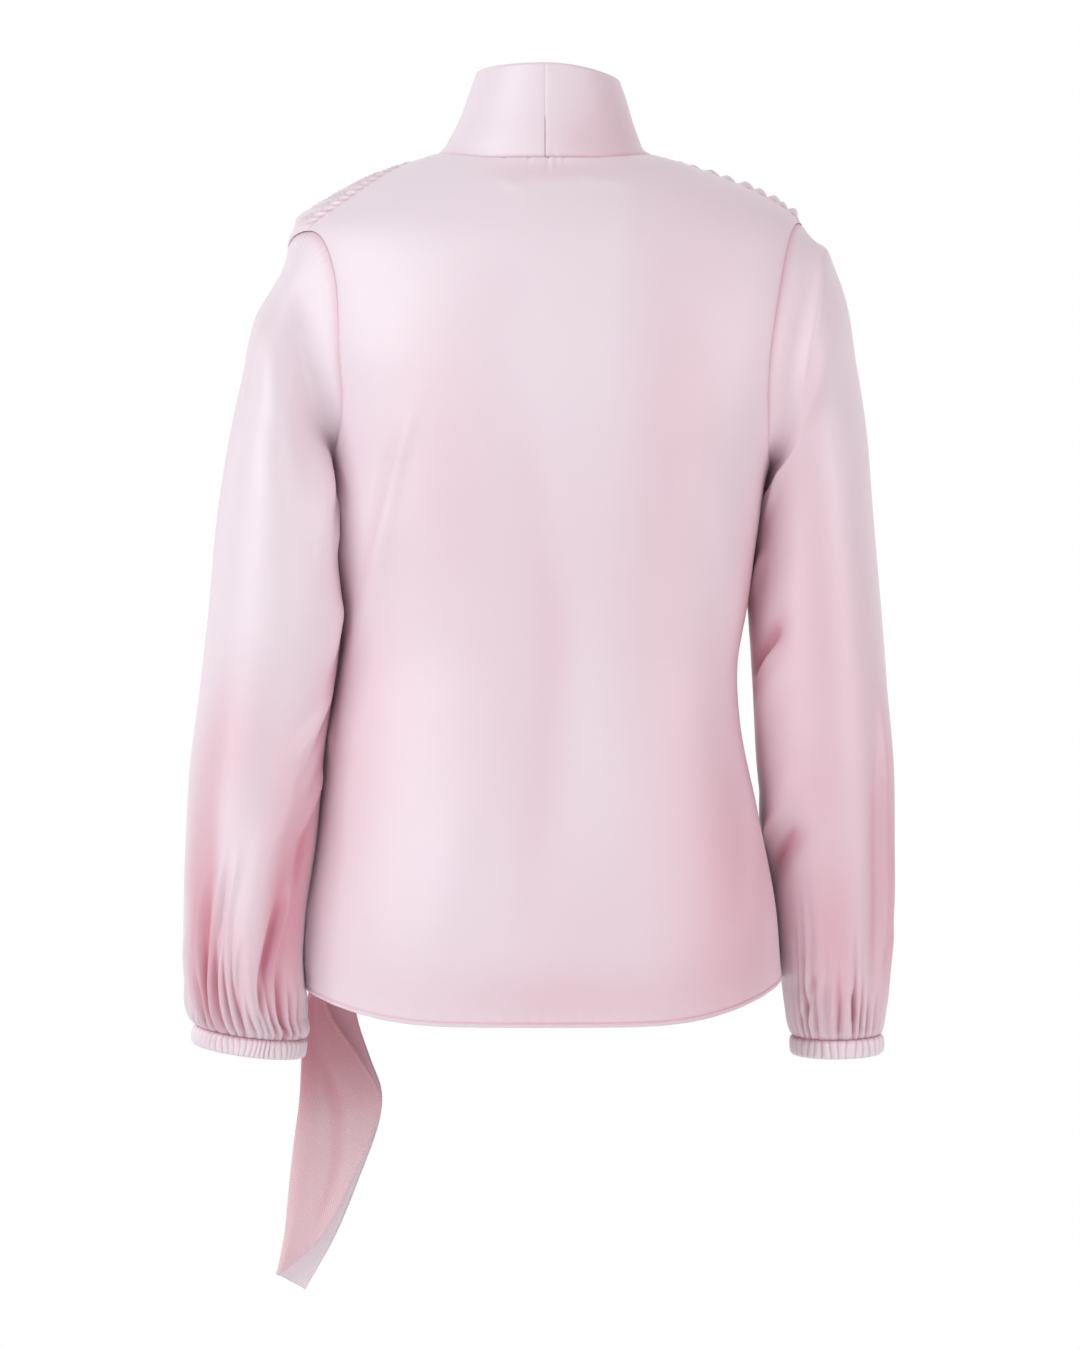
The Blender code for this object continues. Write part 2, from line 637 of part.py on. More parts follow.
def make_cuff(name, table, side, ridges):
    """A short tube with a plain inside and one ridge for each turn of gathered cloth."""
    count = 2 * ridges
    turn = np.arange(count) * 360 / count
    top = sleeve_point(table, side, turn, np.full(count, float(table[-1].reach)))
    axis, radial = cuff_frame(top, table, side)
    crest = np.where(np.arange(count) % 2 == 0, 1.0, 0.0)[:, None]
    outer, inner = [], []
    for share, full in CUFF_PROFILE:
        base = top + axis * (SEAM_GAP / 2 + share * CUFF_HEIGHT)
        outer.append(base + radial * CUFF_RIDGE * crest * full)
        inner.append(base - radial * WALL)
    wall = Wall()
    wall.sheets(outer, inner, True)
    return wall.build(name, SATIN)


def collar_point(angle, rise):
    """The collar: up the neck along the shoulders' slope, then in to its top edge."""
    angle, rise = np.broadcast_arrays(np.asarray(angle, float), np.asarray(rise, float))
    joined = COLLAR[0].rise
    turn = np.radians(angle)

    def guide(at):
        row = read_table(COLLAR, at)
        x, y = ring_point(turn, row["left"], row["right"], row["back"], row["front"], 2.0)
        side_z = np.where(np.cos(turn) >= 0, row["left_z"], row["right_z"])
        middle_z = np.where(np.sin(turn) >= 0, row["back_z"], row["front_z"])
        side = np.cos(turn) ** 2
        return np.stack([x, y, middle_z + (side_z - middle_z) * side], axis=-1)

    start = body_point(angle, NECK_LEVEL)
    way = unit(start - body_point(angle, NECK_LEVEL - 0.5)) * COLLAR_EXIT
    end = guide(np.full(rise.shape, float(joined)))
    slope = (guide(np.full(rise.shape, joined + 1.0)) - end) * joined
    u = (np.clip(rise, 0, joined) / joined)[..., None]
    bridge = (1 + 2 * u) * (1 - u) ** 2 * start + u * (1 - u) ** 2 * way
    bridge = bridge + u * u * (3 - 2 * u) * end + u * u * (u - 1) * slope
    return np.where((rise < joined)[..., None], bridge, guide(np.maximum(rise, joined)))


def make_collar():
    """One band round the neck, parted by its seam at the middle of the back."""
    top = COLLAR[-1].rise
    half_gap = math.degrees(SEAM_GAP / 2 / COLLAR[-1].back)
    back = 180 * crowded(BACK_STEPS)
    front = 180 + 180 * crowded(FRONT_STEPS)
    middle = BACK_STEPS // 2
    angle = np.concatenate([back[middle:], front[1:], back[1:middle + 1] + 360])
    angle[0] += half_gap
    angle[-1] -= half_gap
    outer, inner = [], []
    for rise in COLLAR_RISES:
        at = np.full(angle.shape, float(rise))
        base = collar_point(angle, at)
        steady = np.clip(at, NORMAL_STEP, top - NORMAL_STEP)
        normal = surface_normal(collar_point, angle, steady, NORMAL_STEP, NORMAL_STEP, 1.0)
        if rise == 0:
            normal = body_normal(angle, at + NECK_LEVEL)
            up = unit(collar_point(angle, at + 1.0) - base)
            base = base + up * SEAM_GAP / 2
        outer.append(base)
        inner.append(base - normal * WALL)
    wall = Wall()
    wall.sheets(outer, inner, False)
    return wall.build("collar", SATIN)


def front_depth(x, z):
    """How far forward the front's outer surface lies, at a place below the armpits."""
    heights = np.array([(row.left_z + row.front_z) / 2 for row in BODY])
    level = np.interp(z, heights, [row.level for row in BODY])
    row = read_table(BODY, level)
    share = np.clip(np.abs(x) / row["left"], 0, 0.999)
    return -row["front"] * (1 - share ** row["square"]) ** (1 / row["square"])


def tie_point(across, drop):
    """The folded strip: -1 is the near layer's edge, 0 the fold and 1 the far layer's edge."""
    across, drop = np.broadcast_arrays(np.asarray(across, float), np.asarray(drop, float))
    row = read_table(TIE, drop)
    share = np.abs(across)
    place = {}
    for key, end in (("x", ""), ("z", "_z")):
        edge = np.where(across < 0, row["near" + end], row["far" + end])
        place[key] = row["fold" + end] + share * (edge - row["fold" + end])
    panel = front_depth(place["x"], place["z"])
    sweep = np.clip(place["x"] / TIE_SWEEP, 0, 1)
    hanging = -TIE_BELLY * (1 - sweep ** TIE_SQUARE) ** (1 / TIE_SQUARE)
    over_body = np.where(place["z"] > BODY[0].left_z - TIE_CLEARS, panel - TIE_FREE, 0.0)
    free = smooth_step(*TIE_LEAVES, drop)
    slope = front_depth(place["x"] + 1, place["z"]) - panel
    seat = (TIE_WALL / 2 + SEAM_GAP) * np.sqrt(1 + slope ** 2)
    y = (panel - seat) * (1 - free) + np.minimum(hanging, over_body) * free
    rounding = np.sqrt(np.clip(1 - (1 - np.clip(share * TIE_NOSE, 0, 1)) ** 2, 0, 1))
    layer = row["spread"] * (1 + np.sign(across) * rounding)
    return np.stack([place["x"], y - layer, place["z"]], axis=-1)


def make_tie():
    share = np.linspace(-1, 1, 2 * TIE_TURN + 1)
    across = np.sign(share) * np.abs(share) ** TIE_CROWDING
    drops = np.array(TIE_DROPS, float)
    grid_a, grid_d = np.meshgrid(across, drops)
    middle = tie_point(grid_a, grid_d)
    step = TIE_STEP
    low_a, high_a = np.clip(grid_a - step, -1, 1), np.clip(grid_a + step, -1, 1)
    low_d, high_d = np.clip(grid_d - 0.5, 0, drops[-1]), np.clip(grid_d + 0.5, 0, drops[-1])
    along = tie_point(high_a, grid_d) - tie_point(low_a, grid_d)
    down = tie_point(grid_a, high_d) - tie_point(grid_a, low_d)
    normal = unit(np.cross(along, down))
    wall = Wall()
    wall.sheets(middle + normal * TIE_WALL / 2, middle - normal * TIE_WALL / 2, False)
    return wall.build("tie", REVERSE)


def main():
    clear_scene()
    make_back()
    make_front()
    make_sleeve("sleeve_left", LEFT_SLEEVE, LEFT_FOLDS, 1)
    make_sleeve("sleeve_right", RIGHT_SLEEVE, RIGHT_FOLDS, -1)
    make_cuff("cuff_left", LEFT_SLEEVE, 1, LEFT_RIDGES)
    make_cuff("cuff_right", RIGHT_SLEEVE, -1, RIGHT_RIDGES)
    make_collar()
    make_tie()


if __name__ == "__main__":
    main()
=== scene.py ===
"""Dress the satin blouse in thin cloth sheets, with creases, gathers and stitches.

Lengths in the tables are millimetres. The origin is the middle of the neck, +Z is up, the front
faces -Y and the wearer's left is +X. The photograph looks at the back, along -Y.
"""

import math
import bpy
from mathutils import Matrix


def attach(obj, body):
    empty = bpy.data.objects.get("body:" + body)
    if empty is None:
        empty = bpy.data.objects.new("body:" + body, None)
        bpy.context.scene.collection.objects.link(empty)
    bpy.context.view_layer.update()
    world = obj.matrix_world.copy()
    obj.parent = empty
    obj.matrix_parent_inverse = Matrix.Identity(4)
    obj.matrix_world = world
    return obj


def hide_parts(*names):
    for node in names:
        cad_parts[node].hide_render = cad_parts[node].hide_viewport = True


bl_info = {
    "name": "Satin Blouse",
    "version": (1, 0, 0),
    "blender": (4, 5, 0),
    "location": "3D View > Sidebar > Blouse",
    "description": "Dresses a blouse in creased satin and sets a studio round it",
    "category": "Add Mesh",
}

from collections import namedtuple
from functools import partial

import bmesh
import bpy
import numpy as np
from bpy.props import FloatProperty, FloatVectorProperty, PointerProperty
from bpy.types import Operator, Panel, PropertyGroup
from mathutils import Matrix, Vector

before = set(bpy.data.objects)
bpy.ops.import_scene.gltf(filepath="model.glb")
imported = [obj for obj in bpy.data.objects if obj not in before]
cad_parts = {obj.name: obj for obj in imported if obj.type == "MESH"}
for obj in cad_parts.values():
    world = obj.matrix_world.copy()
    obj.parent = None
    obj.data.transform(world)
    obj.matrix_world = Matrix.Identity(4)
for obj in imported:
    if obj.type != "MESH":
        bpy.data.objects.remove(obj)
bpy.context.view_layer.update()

METRE = 0.001
SEAM_GAP = 0.3
TIE_WALL = 1.6
NORMAL_STEP = 0.05


def table_of(kind, *rows):
    """A table whose rows have named columns."""
    return tuple(kind(*row) for row in rows)


# Levels of the body's surface, measured up from the hem
HEM_LEVEL = 0.0
ARMPIT_LEVEL = 412.0
SHOULDER_LEVEL = 582.0
NECK_LEVEL = 695.0

# Half widths run from the middle to the side, depths from the middle to the back or front.
# square is the outline's exponent, lift says how soon a row leaves its side height, and the
# seam columns turn the side and shoulder seams towards the back, in degrees.
Body = namedtuple("Body", "level left_z right_z left right back front back_z front_z"
                          " square lift left_seam right_seam")
BODY = table_of(
    Body,
    (0, -612, -609, 181, 175, 100, 110, -638, -636, 2.3, 9, 0, 0),
    (70, -556, -553, 178.5, 170.5, 104, 112, -572, -571, 2.3, 7, 0, 0),
    (150, -487, -485, 169, 157.5, 100, 108, -494, -494, 2.3, 5, 0, 0),
    (225, -416, -415, 162, 144, 91, 101, -418, -418, 2.3, 4, 0, 0),
    (265, -377, -377, 155, 142.5, 88, 99, -377, -378, 2.3, 4, 0, 0),
    (310, -332, -332, 154, 150, 91, 103, -331, -334, 2.3, 4, 0, 0),
    (360, -282, -281, 160, 157, 97, 109, -279, -285, 2.3, 4, 0, 0),
    (412, -230, -230, 158, 166, 102, 113, -225, -231, 2.3, 4, 0, 0),
    (450, -192, -189, 164, 182, 103.5, 112, -187, -198, 2.3, 4, 1.5, 0.5),
    (495, -148, -143, 178, 192, 102, 106, -145, -164, 2.3, 4, 4, 1),
    (540, -100, -92, 187, 196, 98, 97, -104, -130, 2.15, 4, 8, 2),
    (582, -57, -50, 188, 190, 90, 88, -68, -103, 2.0, 4, 11, 4),
    (618, -33, -30, 158, 163, 80, 80, -45, -82, 2.0, 4, 13, 4),
    (648, -17, -16, 129, 131, 71, 73, -29, -64, 2.0, 4, 11, 3),
    (672, -6, -6, 104, 105, 64.5, 67, -17, -48, 2.0, 4, 7, 2),
    (695, 2, 1, 80, 80, 60, 62, -6, -32, 2.0, 4, 0, 0),
)

# The armhole is an oval on the body's surface, widest below its middle
ARMHOLE_BACK = 19.0
ARMHOLE_FRONT = 22.0
ARMHOLE_SKEW = 0.25

# Funnel collar, from the neck seam to its folded top edge
Collar = namedtuple("Collar", "rise left right back front left_z right_z back_z front_z")
COLLAR = table_of(
    Collar,
    (12, 72, 71.5, 57.5, 60, 10, 7, 7, -19),
    (32, 63, 65.5, 54, 57, 27, 23, 26, -1),
    (54, 55.5, 60, 51, 54, 48, 42, 47, 19),
    (70, 50.5, 55, 49, 52, 63, 57, 64, 36),
)
COLLAR_EXIT = 9.0

# Sleeves: the outer and inner edge seen from behind, the middle's Y and the half depth.
# reach is the way down the sleeve from the armhole, and gather says how full it is there.
Sleeve = namedtuple("Sleeve", "reach outer outer_z inner inner_z middle depth gather")
LEFT_SLEEVE = table_of(
    Sleeve,
    (26, 201, -97, 166, -230, 6, 59, 0),
    (52, 214, -121, 165, -242, 12, 62, 0),
    (86, 223, -165, 160.5, -257, 20, 62, 0),
    (124, 232, -210, 159, -278, 27, 62, 0),
    (170, 241, -269, 155.5, -305, 29, 61, 0),
    (220, 247, -335, 151, -340, 29, 60, 0),
    (275, 254, -395, 157.5, -395, 25, 59, 0),
    (330, 261, -450, 165.5, -450, 26, 59, 0),
    (385, 264, -505, 169.8, -505, 28, 59, 0.15),
    (440, 266, -560, 178.2, -560, 28, 58, 0.5),
    (485, 266.5, -603, 180.9, -605, 27, 57, 0.9),
    (512, 265, -626, 175, -633, 22, 52, 1),
    (528, 262, -637, 173, -646, 18, 43, 0.8),
    (538, 258, -641, 176, -652, 16, 33, 0.35),
)
RIGHT_SLEEVE = table_of(
    Sleeve,
    (26, 210, -71, 176, -230, 2, 58, 0),
    (52, 223, -106, 172, -243, -4, 60, 0),
    (86, 231, -150, 163.5, -256, -14, 62, 0),
    (124, 239, -198, 158.8, -277, -20, 62, 0),
    (170, 245, -269, 155.2, -306, -22, 62, 0),
    (220, 251, -343, 152.5, -345, -18, 61, 0),
    (275, 255, -402, 155, -402, -16, 60, 0),
    (330, 258, -455, 158, -455, -18, 60, 0),
    (385, 259, -505, 164.5, -505, -24, 59, 0.1),
    (440, 259.5, -555, 171.5, -555, -28, 57, 0.35),
    (485, 257.5, -603, 175.5, -603, -30, 54, 0.7),
    (512, 255.5, -631, 179, -632, -32, 46, 0.9),
    (528, 254, -645, 181, -645, -33, 38, 0.8),
    (538, 252, -652, 184, -653, -34, 31, 0.35),
)
SLEEVES = {1: LEFT_SLEEVE, -1: RIGHT_SLEEVE}
FOREARM_LEAN = 0.09
LEAN_REACHES = (300, 500)
TOP_TWIST = {1: 20.0, -1: 10.0}
TOP_TWIST_END = 150.0

# Beside the armhole the sleeve runs on along the body, then rolls over to its first ring
ROLL_FULLNESS = 1.1

# Elastic cuffs hang from the sleeves' last rings
CUFF_HEIGHT = 14.0
CUFF_RIDGE = 1.6

# Soft folds: the start and end of a crest or trough, its half width and its height.
# On the body a place is an angle and a level, on a sleeve a turn and a reach.
Fold = namedtuple("Fold", "angle_a at_a angle_b at_b width height")
BACK_FOLDS = table_of(
    Fold, (38, 385, 8, 235, 11, 3.0), (12, 330, 3, 150, 12, -2.0), (9, 95, 10, 5, 9, 2.0),
    (150, 400, 172, 250, 13, 2.0), (168, 170, 160, 20, 16, 2.0), (100, 330, 78, 40, 34, -2.0),
    (60, 180, 45, 10, 26, 2.0))
FRONT_FOLDS = table_of(
    Fold, (-46, 215, -118, 470, 15, 4.2), (-47, 195, -150, 360, 15, 4.2),
    (-48, 175, -160, 240, 14, 4.5), (-40, 235, -82, 500, 13, 4.0),
    (-47, 155, -128, 90, 14, 4.0), (-36, 150, -52, 15, 12, 3.0), (-22, 300, -12, 120, 13, -2.0))
LEFT_FOLDS = table_of(
    Fold, (142, 0, 140, 190, 14, 8.0), (78, 400, 66, 520, 9, -5.0), (52, 395, 45, 520, 10, 4.0),
    (108, 360, 98, 520, 11, 4.5), (150, 300, 110, 400, 11, 4.0), (160, 330, 140, 430, 9, -4.5),
    (135, 430, 120, 520, 9, -4.0), (185, 60, 150, 270, 14, 3.0), (250, 330, 280, 520, 13, 4.5),
    (300, 380, 318, 520, 12, -4.0), (20, 420, 12, 520, 10, -3.5),
    (215, 300, 250, 350, 11, -4.0), (330, 120, 300, 300, 18, 3.0))
RIGHT_FOLDS = table_of(
    Fold, (228, 0, 226, 170, 14, 12.0), (180, 270, 120, 215, 11, -4.5),
    (172, 300, 128, 250, 12, 3.5), (182, 400, 120, 330, 11, 4.0),
    (178, 430, 110, 370, 10, -4.0), (22, 250, 30, 520, 10, 4.5), (42, 300, 50, 520, 10, -3.5),
    (30, 455, 12, 520, 8, -3.5), (110, 470, 140, 530, 10, 3.5), (178, 100, 120, 60, 12, 3.0),
    (250, 320, 285, 520, 13, 4.5), (210, 290, 245, 330, 11, -4.0),
    (310, 350, 325, 520, 12, -4.0))
FOLD_REACH = 0.42
SLEEVE_GIRTH = 52.0
BESIDE_BODY = 192.0
BESIDE_WIDTH = 34.0
HEAD_CALM = 40
END_CALM = 16
BODY_GIRTH = 140.0

# The tie: one folded strip, sewn on beside the left side seam and hanging past the hem.
# Each row runs from the near layer's edge round the fold to the far layer's edge.
Tie = namedtuple("Tie", "drop near near_z fold fold_z far far_z spread")
TIE = table_of(
    Tie,
    (0, 108, -446, 131, -446, 108, -446, 3.6),
    (95, 124, -541, 149, -541, 123, -541, 3.8),
    (190, 163, -638, 182, -643, 143, -641, 4.0),
    (225, 139, -676, 183.5, -676, 132.6, -675.7, 5.0),
    (255, 124.2, -704, 185, -705, 124.5, -699, 6.0),
    (290, 131, -733, 189, -737, 126, -724, 6.0),
    (330, 149, -773, 193, -775, 140, -764, 5.5),
    (360, 168, -808, 196, -807, 158, -808, 4.5),
    (390, 190, -828.5, 201.5, -836, 181, -849, 3.6),
)
TIE_BELLY = 99.0
TIE_SWEEP = 230.0
TIE_FREE = 4.0
TIE_ANGLE = -33.0
TIE_LEVEL = 185.0
TIE_CALM_TURN = 12.0
TIE_CALM_RISE = 45.0
TIE_NOSE = 5.0
TIE_SQUARE = 2.3
TIE_CLEARS = 30.0
TIE_LEAVES = (20, 130)
TIE_STEP = 0.004
# Drops at which the painted band of shade under the hem starts on the tie
UNDER_HEM_SHADE = (150, 185)


def hermite(u, start, start_slope, end, end_slope):
    """A smooth way from start to end with a given slope at each, as u goes from 0 to 1."""
    u = u[..., None]
    value = (1 + 2 * u) * (1 - u) ** 2 * start + u * (1 - u) ** 2 * start_slope
    return value + u * u * (3 - 2 * u) * end + u * u * (u - 1) * end_slope


def read_table(table, at):
    """Every column of a table of named rows, read smoothly at the given places."""
    stations = np.array([row[0] for row in table], float)
    values = np.array([row[1:] for row in table], float)
    at = np.clip(np.asarray(at, float), stations[0], stations[-1])
    slopes = np.gradient(values, stations, axis=0)
    i = np.clip(np.searchsorted(stations, at, side="right") - 1, 0, len(stations) - 2)
    step = stations[i + 1] - stations[i]
    read = hermite((at - stations[i]) / step, values[i], step[..., None] * slopes[i],
                   values[i + 1], step[..., None] * slopes[i + 1])
    return dict(zip(table[0]._fields[1:], np.moveaxis(read, -1, 0)))


def unit(vectors):
    return vectors / np.linalg.norm(vectors, axis=-1, keepdims=True)


def smooth_step(low, high, value):
    u = np.clip((value - low) / (high - low), 0, 1)
    return u * u * (3 - 2 * u)


def window(opens, closes, value):
    """1 between two places and 0 outside them, with a smooth rise and a smooth fall."""
    return smooth_step(*opens, value) * (1 - smooth_step(*closes, value))


def bell(value, width):
    """1 at nought, falling off smoothly both ways."""
    return np.exp(-(value / width) ** 2)


def outline_point(row, turn, square, lift):
    """The polar form of a rounded box outline, so its slope never jumps, with its height."""
    cosine, sine = np.cos(turn), np.sin(turn)
    half = np.where(cosine >= 0, row["left"], row["right"])
    depth = np.where(sine >= 0, row["back"], row["front"])
    size = (np.abs(cosine / half) ** square + np.abs(sine / depth) ** square) ** (-1 / square)
    side_z = np.where(cosine >= 0, row["left_z"], row["right_z"])
    middle_z = np.where(sine >= 0, row["back_z"], row["front_z"])
    z = middle_z + (side_z - middle_z) * np.abs(cosine) ** lift
    return np.stack([size * cosine, size * sine, z], axis=-1)


def body_point(angle, level):
    """The outer surface of the body. Angle 0 is the left seam, 90 the middle of the back."""
    angle, level = np.broadcast_arrays(np.asarray(angle, float), np.asarray(level, float))
    row = read_table(BODY, level)
    flat = np.radians(angle)
    seam = np.where(np.cos(flat) >= 0, row["left_seam"], -row["right_seam"])
    turn = flat + np.radians(seam) * np.cos(flat) ** 2
    return outline_point(row, turn, row["square"], row["lift"])


def surface_normal(surface, a, b, outward=1):
    """The outward unit normal of a surface, from small steps both ways."""
    along = surface(a + NORMAL_STEP, b) - surface(a - NORMAL_STEP, b)
    across = surface(a, b + NORMAL_STEP) - surface(a, b - NORMAL_STEP)
    return unit(np.cross(along, across)) * outward


def body_normal(angle, level):
    level = np.clip(level, HEM_LEVEL + NORMAL_STEP, NECK_LEVEL - NORMAL_STEP)
    return surface_normal(body_point, angle, level)


def armhole_level(rise):
    """The armhole's level as it rises from the armpit, 0, to the shoulder, pi."""
    return ARMPIT_LEVEL + (SHOULDER_LEVEL - ARMPIT_LEVEL) * (1 - np.cos(rise)) / 2


def armhole(turn, side):
    """Where the armhole runs: turn 0 is the shoulder, 90 the back, 180 the armpit."""
    turn = np.asarray(turn, float)
    rise = np.radians(np.where(turn <= 180, 180 - turn, turn - 180))
    width = np.where(turn <= 180, ARMHOLE_BACK, -ARMHOLE_FRONT)
    angle = width * np.sin(rise) * (1 + ARMHOLE_SKEW * np.cos(rise))
    return (angle if side > 0 else 180 - angle), armhole_level(rise)


def fold_height(folds, angle, at, girth):
    """The sum of the soft crests and troughs at a place on a surface."""
    total = np.zeros(np.broadcast(angle, at).shape)
    for fold in folds:
        run_x = (fold.angle_b - fold.angle_a) * math.radians(girth)
        run_y = fold.at_b - fold.at_a
        away = (np.asarray(angle) - fold.angle_a + 180) % 360 - 180
        x = away * math.radians(girth)
        y = at - fold.at_a
        length = math.hypot(run_x, run_y)
        along = (x * run_x + y * run_y) / length ** 2
        aside = (x * run_y - y * run_x) / length
        fade = np.exp(-((along - 0.5) / FOLD_REACH) ** 4)
        total += fold.height * fade * bell(aside, fold.width)
    return total


def panel_edges(levels, front):
    """The angle of the left and right edge of the back or front at each level."""
    height = np.clip((levels - ARMPIT_LEVEL) / (SHOULDER_LEVEL - ARMPIT_LEVEL), 0, 1)
    rise = np.degrees(np.arccos(1 - 2 * height))
    turn = 180 + rise if front else 180 - rise
    left = armhole(turn, 1)[0]
    right = armhole(turn, -1)[0]
    return left, (right - 360 if front else right)


def tie_calm(angle, level):
    """The front lies smooth where the tie is sewn on."""
    aside = (angle - TIE_ANGLE) / TIE_CALM_TURN
    above = (level - TIE_LEVEL) / TIE_CALM_RISE
    return 1 - np.exp(-aside ** 2 - above ** 2)


def armhole_frame(turn, side):
    """Points, normals and the way out of the armhole, along the body's surface."""
    angle, level = armhole(turn, side)
    points = body_point(angle, level)
    normals = body_normal(angle, level)
    ahead = body_point(*armhole((turn + 0.5) % 360, side))
    behind = body_point(*armhole((turn - 0.5) % 360, side))
    way = unit(np.cross(normals, ahead - behind)) * -side
    return points, normals, way


def sleeve_ring(row, turn, side):
    """One guide ring of a sleeve, an oval through its outer and inner edge."""
    twist = TOP_TWIST[side] * row["twist"]
    around = np.radians(turn + twist * (1 + np.cos(np.radians(turn))) / 2)
    x = (row["outer"] + row["inner"]) / 2 + (row["outer"] - row["inner"]) / 2 * np.cos(around)
    z = (row["outer_z"] + row["inner_z"]) / 2
    z = z + (row["outer_z"] - row["inner_z"]) / 2 * np.cos(around)
    y = row["depth"] * np.sin(around)
    z = z - row["lean"] * y
    return np.stack([x * side, row["middle"] + y, z], axis=-1)


def sleeve_row(side, reach):
    row = read_table(SLEEVES[side], reach)
    row["lean"] = FOREARM_LEAN * smooth_step(*LEAN_REACHES, reach)
    row["twist"] = 1 - smooth_step(SLEEVES[side][0].reach, TOP_TWIST_END, reach)
    return row


def sleeve_point(side, turn, reach):
    """The smooth sleeve: out of the armhole along the body, then through its guide rings."""
    turn, reach = np.broadcast_arrays(np.asarray(turn, float), np.asarray(reach, float))
    start, _, way = armhole_frame(turn % 360, side)
    joined = float(SLEEVES[side][0].reach)
    end = sleeve_ring(sleeve_row(side, np.full(reach.shape, joined)), turn, side)
    ahead = sleeve_ring(sleeve_row(side, np.full(reach.shape, joined + 1)), turn, side)
    span = end - start
    length = np.linalg.norm(span, axis=-1, keepdims=True)
    bend = np.arccos(np.clip(np.sum(way * span, axis=-1, keepdims=True) / length, -0.9, 0.999))
    aside = unit(span - way * np.sum(way * span, axis=-1, keepdims=True))
    half = length / (2 * np.cos(bend / 2))
    roll = start + half * (way * np.cos(bend / 2) + aside * np.sin(bend / 2))
    along = span / length * half * ROLL_FULLNESS
    middle = joined / 2
    first_part = hermite(np.clip(reach / middle, 0, 1), start, way * half * ROLL_FULLNESS,
                         roll, along)
    last_part = hermite(np.clip((reach - middle) / middle, 0, 1), roll, along, end,
                        unit(ahead - end) * half * ROLL_FULLNESS)
    guide = sleeve_ring(sleeve_row(side, np.maximum(reach, joined)), turn, side)
    near = np.where((reach < middle)[..., None], first_part, last_part)
    return np.where((reach < joined)[..., None], near, guide)


def sleeve_normal(side, turn, reach):
    inner = np.clip(reach, NORMAL_STEP, SLEEVES[side][-1].reach - NORMAL_STEP)
    normal = surface_normal(partial(sleeve_point, side), turn, inner, -side)
    _, at_armhole, _ = armhole_frame(np.asarray(turn, float) % 360, side)
    return np.where((np.asarray(reach) <= 0)[..., None], at_armhole, normal)


def sleeve_calm(side, turn, reach):
    """Folds die out at both seams, and where the sleeve lies close beside the body."""
    last = SLEEVES[side][-1].reach
    ends = window((0, HEAD_CALM), (last - END_CALM, last), reach)
    return ends * (1 - bell(turn - BESIDE_BODY, BESIDE_WIDTH))


def cuff_frame(ring, side):
    """The way out of the sleeve's last ring, and the ring's own outward directions."""
    end = SLEEVES[side][-1]
    across = np.array([(end.outer - end.inner) * side, 0.0, end.outer_z - end.inner_z])
    axis = unit(np.cross(np.array([0.0, side, -FOREARM_LEAN * side]), across))
    radial = ring - ring.mean(axis=0)
    radial = unit(radial - np.outer(radial @ axis, axis))
    return axis, radial


def collar_point(angle, rise):
    """The collar: up the neck along the shoulders' slope, then in to its top edge."""
    angle, rise = np.broadcast_arrays(np.asarray(angle, float), np.asarray(rise, float))
    joined = COLLAR[0].rise
    turn = np.radians(angle)

    def guide(at):
        return outline_point(read_table(COLLAR, at), turn, 2, 2)

    start = body_point(angle, NECK_LEVEL)
    way = unit(start - body_point(angle, NECK_LEVEL - 0.5)) * COLLAR_EXIT
    end = guide(np.full(rise.shape, float(joined)))
    slope = (guide(np.full(rise.shape, joined + 1.0)) - end) * joined
    bridge = hermite(np.clip(rise, 0, joined) / joined, start, way, end, slope)
    return np.where((rise < joined)[..., None], bridge, guide(np.maximum(rise, joined)))


def front_depth(x, z):
    """How far forward the front's outer surface lies, at a place below the armpits."""
    heights = np.array([(row.left_z + row.front_z) / 2 for row in BODY])
    level = np.interp(z, heights, [row.level for row in BODY])
    row = read_table(BODY, level)
    share = np.clip(np.abs(x) / row["left"], 0, 0.999)
    return -row["front"] * (1 - share ** row["square"]) ** (1 / row["square"])


def tie_point(across, drop):
    """The folded strip: -1 is the near layer's edge, 0 the fold and 1 the far layer's edge."""
    across, drop = np.broadcast_arrays(np.asarray(across, float), np.asarray(drop, float))
    row = read_table(TIE, drop)
    share = np.abs(across)
    place = {}
    for key, end in (("x", ""), ("z", "_z")):
        edge = np.where(across < 0, row["near" + end], row["far" + end])
        place[key] = row["fold" + end] + share * (edge - row["fold" + end])
    panel = front_depth(place["x"], place["z"])
    sweep = np.clip(place["x"] / TIE_SWEEP, 0, 1)
    hanging = -TIE_BELLY * (1 - sweep ** TIE_SQUARE) ** (1 / TIE_SQUARE)
    over_body = np.where(place["z"] > BODY[0].left_z - TIE_CLEARS, panel - TIE_FREE, 0.0)
    free = smooth_step(*TIE_LEAVES, drop)
    slope = front_depth(place["x"] + 1, place["z"]) - panel
    seat = (TIE_WALL / 2 + SEAM_GAP) * np.sqrt(1 + slope ** 2)
    y = (panel - seat) * (1 - free) + np.minimum(hanging, over_body) * free
    rounding = np.sqrt(np.clip(1 - (1 - np.clip(share * TIE_NOSE, 0, 1)) ** 2, 0, 1))
    layer = row["spread"] * (1 + np.sign(across) * rounding)
    return np.stack([place["x"], y - layer, place["z"]], axis=-1)


# The finer form, which only shows close by

